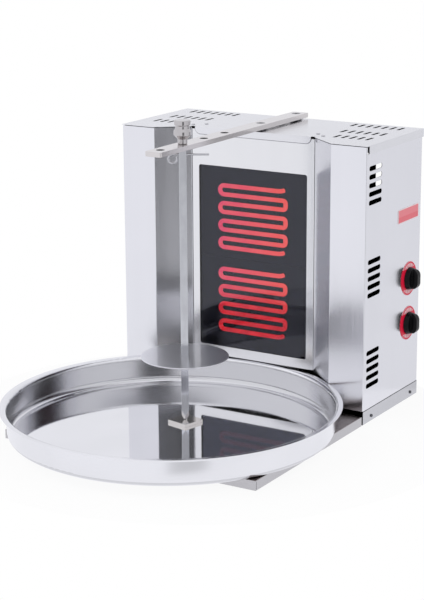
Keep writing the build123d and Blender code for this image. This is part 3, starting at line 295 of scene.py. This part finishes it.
def brushed_steel(name, colour, roughness, grain_axis, **painted_shades):
    """Sheet with a fine grain along one axis, slightly uneven, its edges painted brighter as rubbed wear and
    highlight, and parts painted darker as shade and reflection.
    """
    shader = Shader(name)
    shader.set(Metallic=1.0, Anisotropic=0.4)
    shader.draw_out(grain_axis)
    grain = shader.noise(shader.coords(stretch(grain_axis, along=7, across=1100)), detail=4.0, rough=0.65)
    streak = shader.noise(shader.coords(stretch(grain_axis, along=1.2, across=60)))
    cloud = shader.noise(shader.coords((5, 5, 5)), detail=2.0)
    edge_wear_and_highlight, soft = shader.edges(EDGE_RADIUS)
    tone = shader.mix(shader.remap(streak, *NOISE_SPAN), shade(colour, 0.98), colour)
    tone = shader.mix(shader.remap(cloud, *CLOUD_SPAN, 0.0, 0.6), tone, shade(colour, 1.03))
    # edges painted brighter as rubbed wear and highlight
    tone = shader.mix(edge_wear_and_highlight, tone, shade(colour, 1.07))
    # painted shade, painted reflection and painted shadow laid over the tone where each mask is 1
    for stain_and_shade, where in painted_shades.items():
        tone = shader.mix(where(shader), tone, PAINTED_SHADES[stain_and_shade])
    shader.paint(tone)
    shader.gloss(shader.remap(grain, *NOISE_SPAN, 0.85 * roughness, 1.15 * roughness))
    waved = shader.bump(cloud, distance=0.0001, under=soft)
    shader.relief(shader.bump(grain, distance=0.000006, under=waved))
    return shader.material


def behind_skin(shader):
    """Depth behind the cabinet's outer faces: sides, pillar fronts, splayed walls and back."""
    x, y, _ = shader.xyz()
    across = shader.math("ABSOLUTE", x)
    from_pillar = shader.math("SUBTRACT", shader.math("MAXIMUM", across, FRAME_X), PILLAR_X)
    from_front = shader.math("SUBTRACT", y, FRONT_Y)
    inward = Vector((FRAME_Y - FRONT_Y, PILLAR_X - FRAME_X)).normalized()
    depth = shader.math(
        "ADD",
        shader.math("MULTIPLY", from_pillar, inward.x),
        shader.math("MULTIPLY", from_front, inward.y),
    )
    depth = shader.math("MINIMUM", depth, from_front)
    depth = shader.math("MINIMUM", depth, shader.math("SUBTRACT", SIDE_X, across))
    return shader.math("MINIMUM", depth, shader.math("SUBTRACT", BACK_Y, y))


def inside_of_shell(shader):
    """Mask of the side shells' faces inside the cabinet, painted almost black as shade."""
    return shader.math("GREATER_THAN", behind_skin(shader), SHELL_INSIDE)


def inside_of_back(shader):
    """Mask of the back panel's face inside the cabinet, painted almost black as shade."""
    return shader.math("LESS_THAN", shader.xyz()[1], BACK_Y - BACK_INSIDE)


def inside_of_lid(shader):
    """Mask of the lid's underside and the walls of its slots, painted almost black as shade."""
    below = shader.math("LESS_THAN", shader.xyz()[2], LID_TOP_Z - LID_SKIN)
    inside = shader.math("GREATER_THAN", behind_skin(shader), LID_INSIDE)
    return shader.math("MULTIPLY", below, inside)


def inside_of_floor(shader):
    """Mask of the floor pan's inside and of its cut edges at the seams, painted almost black as shade."""
    x, y, z = shader.xyz()
    inside = shader.between(x, FLOOR_LOW[0] + PAN_INSIDE, FLOOR_HIGH[0] - PAN_INSIDE)
    inside = shader.math("MULTIPLY", inside, shader.math("LESS_THAN", y, FLOOR_HIGH[1] - PAN_INSIDE))
    inside = shader.math("MULTIPLY", inside, shader.math("GREATER_THAN", z, FLOOR_LOW[2] + PAN_INSIDE))
    inside = shader.math("MAXIMUM", inside, shader.math("LESS_THAN", y, FLOOR_LOW[1] + PAN_CUT_EDGE))
    return shader.math("MAXIMUM", inside, shader.math("GREATER_THAN", z, FLOOR_HIGH[2] - PAN_CUT_EDGE))


def inside_of_base(shader):
    """Mask of the base plate's underside and of its tongue in the cabinet, painted almost black as shade."""
    x, y, z = shader.xyz()
    inside = shader.between(x, BASE_LOW[0] + PAN_INSIDE, BASE_HIGH[0] - PAN_INSIDE)
    inside = shader.math("MULTIPLY", inside, shader.math("GREATER_THAN", y, BASE_LOW[1] + PAN_INSIDE))
    inside = shader.math("MULTIPLY", inside, shader.math("LESS_THAN", z, BASE_HIGH[2] - PAN_INSIDE))
    return shader.math("MAXIMUM", inside, shader.math("GREATER_THAN", y, FRONT_Y))


def top_of_base(shader):
    """Mask of the base plate's upper face, painted darker brown as a reflection of the tray's underside and
    the pillar.
    """
    return shader.math("GREATER_THAN", shader.xyz()[2], BASE_HIGH[2] - BASE_SKIN)


def painted_shadow_under_lip(shader):
    """Mask of a narrow painted shadow line on the heater frame along the lower edge of the lid's lip."""
    x, _, z = shader.xyz()
    out = shader.math("SUBTRACT", shader.math("ABSOLUTE", x), LIP_HALF_WIDTH - LIP_CORNER)
    down = shader.math("SUBTRACT", LIP_LOW_Z + LIP_CORNER, z)
    reach = shader.length(shader.math("MAXIMUM", out, 0.0), shader.math("MAXIMUM", down, 0.0))
    return shader.between(reach, LIP_CORNER, LIP_CORNER + LIP_SHADOW_LINE)


def inside_of_spit_holes(shader):
    """Mask of the walls of the arm's holes, painted almost black as shade."""
    x, y, z = shader.xyz((0, middle_of("spit_bar").y, 0))
    along = shader.math("PINGPONG", y, SPIT_HOLE_PITCH / 2)
    near = shader.math("LESS_THAN", shader.length(x, along), SPIT_HOLE_REACH)
    return shader.math("MULTIPLY", near, shader.math("LESS_THAN", z, ARM_TOP_Z - ARM_SKIN))


def sooty_steel(name):
    """Sheet near the heaters, painted almost black as the shade inside the cabinet, with runs of grease."""
    shader = Shader(name)
    shader.set(Metallic=0.6)
    film = shader.noise(shader.coords((60, 60, 60)), detail=5.0, rough=0.7)
    run = shader.noise(shader.coords(stretch("Z", along=9, across=200)))
    tone = shader.mix(film, shade(SHADE_BLACK, 0.6), shade(SHADE_BLACK, 1.6))
    shader.paint(shader.mix(shader.remap(run, 0.55, 0.75, 0.0, 0.5), tone, GREASE_RUN))
    shader.gloss(shader.remap(film, *NOISE_SPAN, 0.45, 0.7))
    shader.relief(shader.bump(film, distance=0.0001))
    return shader.material


def turned_grain(shader, centre):
    """Grain that runs round an upright axis, the distance from the axis and the height."""
    x, y, z = shader.xyz((centre.x, centre.y, 0))
    radius = shader.length(x, y)
    rings = shader.node("ShaderNodeCombineXYZ")
    shader.link(shader.math("MULTIPLY", radius, TURNING_SCALE), rings.inputs["X"])
    shader.link(shader.math("MULTIPLY", z, TURNING_SCALE), rings.inputs["Y"])
    shader.link(shader.math("ARCTAN2", y, x), rings.inputs["Z"])
    return shader.noise(rings.outputs["Vector"], detail=4.0, rough=0.6), radius, z


def tray_steel(name, colour):
    """Spun tray: polished floor, satin inner wall a little dulled, and a painted contact shadow as a dark
    line along its lowest edge.
    """
    shader = Shader(name)
    shader.set(Metallic=1.0)
    grain, radius, z = turned_grain(shader, middle_of("drip_tray"))
    cloud = shader.noise(shader.coords((7, 7, 7)), detail=2.0)
    edge_wear_and_highlight, soft = shader.edges(EDGE_RADIUS)
    above_floor = shader.remap(z, *TRAY_WALL_START)
    inside = shader.math("LESS_THAN", radius, TRAY_MID_WALL)
    wall = shader.math("MULTIPLY", above_floor, inside)
    # painted contact shadow: the tray's lowest ring near the wall is painted dark
    painted_contact_shadow = shader.math("LESS_THAN", z, TRAY_SHADOW_TOP_Z)
    painted_contact_shadow = shader.math("MULTIPLY", painted_contact_shadow, shader.math("GREATER_THAN", radius, TRAY_MID_WALL - TRAY_SHADOW_WIDTH))
    tone = shader.mix(shader.remap(cloud, *CLOUD_SPAN), shade(colour, 0.96), colour)
    tone = shader.mix(wall, tone, shade(colour, 0.8))
    # edges painted brighter as rubbed wear and highlight
    tone = shader.mix(edge_wear_and_highlight, tone, shade(colour, 1.04))
    shader.paint(shader.mix(painted_contact_shadow, tone, shade(colour, 0.45)))
    roughness = shader.remap(above_floor, 0.0, 1.0, TRAY_FLOOR_ROUGHNESS, TRAY_WALL_ROUGHNESS)
    roughness = shader.math("ADD", roughness, shader.math("MULTIPLY", wall, TRAY_WALL_DULLING))
    shader.gloss(shader.math("MULTIPLY", shader.remap(grain, *NOISE_SPAN, 0.85, 1.15), roughness))
    waved = shader.bump(cloud, distance=0.00006, under=soft)
    shader.relief(shader.bump(grain, distance=0.000002, under=waved))
    return shader.material


def disc_steel(name, colour):
    """Spun disc, dulled by use under a thin glossy film of fat."""
    shader = Shader(name)
    shader.set(Metallic=1.0, Coat_Weight=0.8, Coat_Roughness=0.03, Coat_IOR=1.7)
    grain, radius, _ = turned_grain(shader, middle_of("meat_disc"))
    cloud = shader.noise(shader.coords((20, 20, 20)), detail=2.0)
    worn = shader.remap(radius, *DISC_WEAR)
    tone = shader.mix(shader.remap(cloud, *CLOUD_SPAN), shade(colour, 0.94), colour)
    shader.paint(shader.mix(worn, shade(colour, 0.92), tone))
    shader.gloss(shader.remap(grain, *NOISE_SPAN, 0.30, 0.38))
    shader.relief(shader.bump(grain, distance=0.0000015))
    return shader.material


def polished_steel(name, colour, roughness):
    """Turned or drawn bar, polished, with faint scratches and edges painted brighter as rubbed wear and
    highlight.
    """
    shader = Shader(name)
    shader.set(Metallic=1.0)
    scratch = shader.noise(shader.coords((40, 40, 900)), detail=5.0, rough=0.7)
    stain_and_shade = shader.noise(shader.coords((60, 60, 25)), detail=3.0)
    edge_wear_and_highlight, soft = shader.edges(EDGE_RADIUS)
    tone = shader.mix(shader.remap(stain_and_shade, *CLOUD_SPAN), shade(colour, 0.9), colour)
    shader.paint(shader.mix(edge_wear_and_highlight, tone, shade(colour, 1.08)))
    shader.gloss(shader.remap(scratch, *NOISE_SPAN, 0.6 * roughness, 1.5 * roughness))
    shader.relief(shader.bump(scratch, distance=0.000008, under=soft))
    return shader.material


def dark_glass(name):
    """Smoky heat-proof pane, seen through to the heaters."""
    shader = Shader(name)
    shader.set(Base_Color=(0.42, 0.44, 0.62, 1), IOR=1.48, Transmission_Weight=1.0)
    smear = shader.noise(shader.coords((18, 18, 9)), detail=4.0)
    shader.gloss(shader.remap(smear, 0.4, 0.7, 0.004, 0.02))
    return shader.material


def glowing_element(name):
    """Sheathed heater at red heat, pinker to the left and deeper below; metal mirrors it only faintly."""
    low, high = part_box("upper_element")
    shader = Shader(name)
    shader.set(Roughness=0.7)
    x, _, z = shader.xyz()
    patch = shader.noise(shader.coords((45, 30, 90)), detail=3.0)
    fleck = shader.noise(shader.coords((900, 900, 900)), detail=2.0)
    heat = shader.remap(patch, *CLOUD_SPAN)
    shader.paint(shader.mix(fleck, SHEATH_DARK, SHEATH_PALE))
    across = shader.remap(x, low[0], high[0])
    bright = shader.mix(across, GLOW_LEFT, GLOW_RIGHT)
    bright = shader.mix(shader.math("MULTIPLY", heat, 0.6), bright, GLOW_HOTTEST)
    deep = shader.mix(heat, GLOW_LOW_COOL, GLOW_LOW_HOT)
    raised = shader.remap(z, *(low[2] - drop for drop in GLOW_LOW_DROPS))
    glow = shader.mix(raised, deep, bright)
    shader.link(glow, shader.surface.inputs["Emission Color"])
    rays = shader.node("ShaderNodeLightPath")
    mirrored = shader.math("GREATER_THAN", rays.outputs["Glossy Depth"], 0.5)
    mirrored = shader.math("MAXIMUM", mirrored, rays.outputs["Is Diffuse Ray"])
    strength = shader.remap(mirrored, 0.0, 1.0, GLOW_STRENGTH, GLOW_IN_METAL)
    shader.link(strength, shader.surface.inputs["Emission Strength"])
    shader.relief(shader.bump(fleck, distance=0.00005))
    return shader.material


def moulded_plastic(name, colour, roughness, shine=0.25):
    """Moulded plastic with a fine skin texture, edges painted paler as rubbed wear and highlight."""
    shader = Shader(name)
    shader.set(Specular_IOR_Level=shine)
    skin = shader.noise(shader.coords((1500, 1500, 1500)), detail=2.0)
    cloud = shader.noise(shader.coords((30, 30, 30)), detail=3.0)
    edge_wear_and_highlight, soft = shader.edges(0.0008)
    tone = shader.mix(cloud, shade(colour, 0.8), colour)
    shader.paint(shader.mix(edge_wear_and_highlight, tone, tuple(channel + 0.05 for channel in colour)))
    shader.gloss(shader.remap(cloud, *NOISE_SPAN, 0.85 * roughness, 1.15 * roughness))
    shader.relief(shader.bump(skin, distance=0.00002, under=soft))
    return shader.material


def fibre(name, dark, pale):
    """Pressed or woven mineral fibre."""
    shader = Shader(name)
    shader.set(Roughness=0.95)
    strands = shader.noise(shader.coords((300, 300, 900)), detail=5.0, rough=0.7)
    clump = shader.noise(shader.coords((80, 80, 80)), detail=3.0)
    shader.paint(shader.mix(shader.math("MULTIPLY", strands, clump), dark, pale))
    shader.relief(shader.bump(strands, distance=0.0004))
    return shader.material


def printed_plate(name):
    """Bare rose plate with a pale border, a little deeper in its lower half."""
    low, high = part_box("name_plate")
    half_y = (high[1] - low[1]) / 2
    half_z = (high[2] - low[2]) / 2
    shader = Shader(name)
    shader.set(Specular_IOR_Level=0.2)
    _, y, z = shader.xyz(middle_of("name_plate"))
    on_border = shader.math(
        "MAXIMUM",
        shader.math("GREATER_THAN", shader.math("ABSOLUTE", y), half_y - PLATE_BORDER_WIDTH),
        shader.math("GREATER_THAN", shader.math("ABSOLUTE", z), half_z - PLATE_BORDER_WIDTH),
    )
    lower_band = shader.math("LESS_THAN", z, -0.1 * half_z)
    grain = shader.noise(shader.coords((700, 700, 700)), detail=2.0)
    tone = shader.mix(lower_band, PLATE_UPPER, PLATE_LOWER)
    tone = shader.mix(shader.math("MULTIPLY", grain, 0.2), tone, PLATE_FLECK)
    shader.paint(shader.mix(on_border, tone, PLATE_BORDER))
    shader.gloss(shader.remap(grain, *NOISE_SPAN, 0.3, 0.45))
    return shader.material


def printed_dial(name, node):
    """Red dial: a solid band across the middle, pale caps above and below with marks and a red rim."""
    low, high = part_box(node)
    rim = (high[2] - low[2]) / 2
    shader = Shader(name)
    shader.set(Specular_IOR_Level=0.2)
    _, y, z = shader.xyz(middle_of(node))
    radius = shader.length(y, z)
    in_cap = shader.math("GREATER_THAN", shader.math("ABSOLUTE", z), DIAL_CAP_FROM * rim)
    on_rim = shader.between(radius, *(share * rim for share in DIAL_RIM_BAND))
    turn = shader.math("MULTIPLY", shader.math("ARCTAN2", z, y), DIAL_MARKS / math.tau)
    on_mark = shader.math("LESS_THAN", shader.math("FRACT", turn), DIAL_MARK_SHARE)
    in_band = shader.between(radius, *(share * rim for share in DIAL_MARK_BAND))
    on_mark = shader.math("MULTIPLY", on_mark, in_band)
    grain = shader.noise(shader.coords((500, 500, 500)), detail=2.0)
    red = shader.mix(grain, DIAL_DEEP_RED, DIAL_RED)
    cap = shader.mix(on_mark, DIAL_CAP, DIAL_MARK)
    cap = shader.mix(on_rim, cap, red)
    shader.paint(shader.mix(in_cap, red, cap))
    shader.gloss(shader.remap(grain, *NOISE_SPAN, 0.3, 0.42))
    return shader.material


def dress(material, *nodes):
    """Give CAD nodes their material."""
    for node in nodes:
        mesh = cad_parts[node].data
        mesh.materials.clear()
        mesh.materials.append(material)


# Sheet metal
# painted shade: the insides of the shells, lid, floor pan, base and back are painted near-black
dress(
    brushed_steel("shell_steel", (0.80, 0.80, 0.83), 0.19, "Z", sooty=inside_of_shell),
    "left_side_shell", "right_side_shell",
)
# painted shadow: a dark grey line on the frame along the lower edge of the lid's lip
dress(brushed_steel("frame_steel", (0.80, 0.80, 0.81), 0.15, "Z", grimy=painted_shadow_under_lip), "heater_frame")
dress(brushed_steel("lid_steel", (0.78, 0.78, 0.80), 0.2, "X", sooty=inside_of_lid), "top_lid")
# painted shade: the base plate's steel is a far darker colour than the shells', standing in for its shade
# and reflections
dress(
    brushed_steel("darker_shaded_base_steel", (0.55, 0.54, 0.55), 0.3, "X", greasy=top_of_base, sooty=inside_of_base),
    "base_plate",
)
# painted shade: the floor pan's steel is a darker colour than the shells', standing in for the shade on its
# skirts
dress(brushed_steel("darker_shaded_floor_steel", (0.58, 0.58, 0.60), 0.22, "Y", sooty=inside_of_floor), "cabinet_floor")
dress(brushed_steel("back_steel", (0.72, 0.72, 0.74), 0.2, "Z", sooty=inside_of_back), "back_panel")
# painted shade: the walls of the arm's holes are painted near-black
dress(brushed_steel("arm_steel", (0.70, 0.67, 0.66), 0.18, "Y", sooty=inside_of_spit_holes), "top_arm")
dress(brushed_steel("pivot_steel", (0.72, 0.69, 0.66), 0.12, "X"), "pivot_plate")
# painted shade: the pan, clamps, brackets, stiffener and supports inside are near-black
dress(
    sooty_steel("sooty_steel"),
    "heater_pan", "clamp_bars", "frame_brackets", "arm_stiffener", "element_supports",
)

# Tray and spit
dress(tray_steel("tray_steel", (0.85, 0.85, 0.87)), "drip_tray")
dress(disc_steel("disc_steel", (0.84, 0.84, 0.88)), "meat_disc")
dress(polished_steel("spit_steel", (0.76, 0.77, 0.80), 0.05), "spit_bar", "disc_pin")
# painted shade: the finial's polished steel is a darker colour than the spit's, standing in for the shade it
# mirrors
dress(polished_steel("darker_shaded_finial_steel", (0.56, 0.54, 0.54), 0.06), "spit_finial")
dress(polished_steel("pin_steel", (0.58, 0.58, 0.60), 0.14), "ring_pin")

# Fasteners
dress(polished_steel("dark_fastener", (0.14, 0.14, 0.15), 0.3), "arm_screws", "skirt_screws", "arm_spacers")
dress(
    polished_steel("fastener_steel", (0.55, 0.55, 0.57), 0.28),
    "floor_studs", "stud_nuts", "frame_rivets", "lid_rivets", "regulator_screws",
    "arm_nuts", "back_screws", "lid_screws", "upper_shaft", "lower_shaft",
)

# Heaters
dress(dark_glass("heater_glass"), "glass_pane")
dress(glowing_element("glowing_sheath"), "upper_element", "lower_element")
# painted shade: the insulation behind the glass is near-black, standing in for the shade there
dress(
    fibre("fibre_board", (0.004, 0.004, 0.006), (0.015, 0.016, 0.024)),
    "upper_insulation", "lower_insulation",
)
dress(fibre("gasket_fibre", (0.01, 0.01, 0.01), (0.03, 0.03, 0.03)), "glass_gasket")

# Controls and wiring
dress(moulded_plastic("knob_black", (0.005, 0.005, 0.006), 0.22, shine=0.13), "upper_knob", "lower_knob")
dress(printed_dial("upper_dial_print", "upper_dial"), "upper_dial")
dress(printed_dial("lower_dial_print", "lower_dial"), "lower_dial")
dress(printed_plate("plate_print"), "name_plate")
dress(moulded_plastic("regulator_black", (0.02, 0.02, 0.02), 0.5), "upper_regulator", "lower_regulator")
dress(moulded_plastic("terminal_brown", (0.05, 0.03, 0.02), 0.4), "terminal_block")
dress(moulded_plastic("lead_sleeve", (0.03, 0.03, 0.03), 0.5), "internal_leads")
dress(moulded_plastic("gland_grey", (0.05, 0.05, 0.055), 0.45), "cable_gland", "gland_nut")


def white_floor():
    """Pale round floor that keeps a faint shadow."""
    bpy.ops.mesh.primitive_circle_add(vertices=96, radius=FLOOR_RADIUS, fill_type="NGON")
    floor = bpy.context.object
    floor.name = "floor"
    floor.location.z = -FLOOR_DROP
    shader = Shader("floor_paper")
    shader.set(Base_Color=FLOOR_COLOUR, Roughness=0.9)
    grain = shader.noise(shader.coords((400, 400, 400)), detail=2.0)
    shader.relief(shader.bump(grain, distance=0.00005))
    white = shader.node("ShaderNodeEmission")
    seen = shader.node("ShaderNodeMixShader")
    rays = shader.node("ShaderNodeLightPath")
    shader.link(shader.mix(rays.outputs["Is Camera Ray"], ROOM_TINT[:3], (1, 1, 1)), white.inputs["Color"])
    direct = shader.math("MAXIMUM", rays.outputs["Is Camera Ray"], rays.outputs["Is Glossy Ray"])
    direct = shader.math("MAXIMUM", direct, rays.outputs["Is Transmission Ray"])
    shader.link(shader.math("MULTIPLY", direct, FLOOR_WHITENESS), seen.inputs["Fac"])
    shader.link(shader.surface.outputs["BSDF"], seen.inputs[1])
    shader.link(white.outputs["Emission"], seen.inputs[2])
    shader.link(seen.outputs["Shader"], shader.output.inputs["Surface"])
    floor.data.materials.append(shader.material)


class Room(Nodes):
    """World nodes: levels by direction and by kind of ray."""

    def __init__(self):
        world = bpy.data.worlds.new("studio")
        bpy.context.scene.world = world
        super().__init__(world)

    def vector(self, operation, first, second):
        made = self.node("ShaderNodeVectorMath", operation=operation)
        self.link(first, made.inputs[0])
        made.inputs[1].default_value = second
        return made.outputs["Value" if operation == "DOT_PRODUCT" else "Vector"]

    def ramp(self, value, low, high, to_low=0.0, to_high=1.0):
        """Smooth change from one level to another."""
        return self.remap(value, low, high, to_low, to_high, curve="SMOOTHSTEP")

    def choose(self, factor, first, second):
        """Mix of two levels; each is a socket or a number."""
        made = self.node("ShaderNodeMix", data_type="FLOAT")
        self.link(factor, made.inputs["Factor"])
        self.feed(first, made.inputs["A"])
        self.feed(second, made.inputs["B"])
        return made.outputs["Result"]

    def sky(self, colour, strength):
        made = self.node("ShaderNodeBackground")
        made.inputs["Color"].default_value = colour
        self.link(strength, made.inputs["Strength"])
        return made.outputs["Background"]


def studio_world():
    """White room; metal mirrors it a little blue, with one dark upright strip and one dim side."""
    room = Room()
    rays = room.node("ShaderNodeLightPath").outputs
    ray = room.node("ShaderNodeTexCoord").outputs["Generated"]
    level_ray = room.vector("NORMALIZE", room.vector("MULTIPLY", ray, (1, 1, 0)), (0, 0, 0))
    aside = room.ramp(room.vector("DOT_PRODUCT", level_ray, DARK_SIDE), *DARK_SIDE_EDGES)
    height = room.vector("DOT_PRODUCT", ray, (0, 0, 1))
    upward = room.ramp(height, *DARK_SIDE_HEIGHTS)
    below_top = room.ramp(height, *DARK_SIDE_TOP, 1.0, 0.0)
    twice_mirrored = room.ramp(rays["Ray Depth"], *SECOND_MIRROR_DEPTH)
    upward = room.math("MULTIPLY", upward, room.math("MAXIMUM", below_top, twice_mirrored))
    strip = room.choose(room.math("MULTIPLY", aside, upward), 1.0, DARK_SIDE_LEVEL)
    dim = room.ramp(room.vector("DOT_PRODUCT", ray, DIM_SIDE), *DIM_SIDE_EDGES, 1.0, DIM_SIDE_LEVEL)
    mirrored = room.math("MULTIPLY", strip, dim)
    shiny = room.math("MAXIMUM", rays["Is Glossy Ray"], rays["Is Transmission Ray"])
    level = room.choose(shiny, ROOM_FOR_DIFFUSE, mirrored)
    plain = room.sky((1, 1, 1, 1), room.choose(rays["Is Camera Ray"], level, 1.0))
    tinted = room.sky(ROOM_TINT, level)
    blend = room.node("ShaderNodeMixShader")
    output = room.node("ShaderNodeOutputWorld")
    room.link(rays["Is Glossy Ray"], blend.inputs["Fac"])
    room.link(plain, blend.inputs[1])
    room.link(tinted, blend.inputs[2])
    room.link(blend.outputs["Shader"], output.inputs["Surface"])


def soft_box(name, place, aim, size, power):
    """Square area lamp that looks at a point."""
    data = bpy.data.lights.new(name, "AREA")
    data.shape = "SQUARE"
    data.size = size
    data.energy = power
    lamp = bpy.data.objects.new(name, data)
    lamp.visible_glossy = False
    bpy.context.scene.collection.objects.link(lamp)
    lamp.location = place
    lamp.rotation_euler = (Vector(aim) - Vector(place)).to_track_quat("-Z", "Y").to_euler()


def camera():
    """Camera at the photograph's place, a little rolled."""
    data = bpy.data.cameras.new("camera")
    data.sensor_fit = "VERTICAL"
    data.sensor_height = CAMERA_SENSOR_MM
    data.lens = CAMERA_LENS_MM
    data.clip_end = 20
    eye = bpy.data.objects.new("camera", data)
    bpy.context.scene.collection.objects.link(eye)
    back = Vector((
        math.sin(CAMERA_AZIMUTH) * math.cos(CAMERA_PITCH),
        -math.cos(CAMERA_AZIMUTH) * math.cos(CAMERA_PITCH),
        math.sin(CAMERA_PITCH),
    ))
    level = (-back).to_track_quat("-Z", "Y").to_matrix().to_4x4()
    turn = Matrix.Rotation(CAMERA_ROLL, 4, "Z")
    eye.matrix_world = Matrix.Translation(CAMERA_TARGET + CAMERA_DISTANCE * back) @ level @ turn
    bpy.context.scene.camera = eye


white_floor()
studio_world()
soft_box("key", place=(-1.6, -1.8, 2.2), aim=(0, 0, 0.2), size=2.8, power=38)
soft_box("fill", place=(1.9, -0.4, 1.8), aim=(0, 0, 0.25), size=2.2, power=16)
camera()
bpy.context.scene.view_settings.view_transform = "Standard"
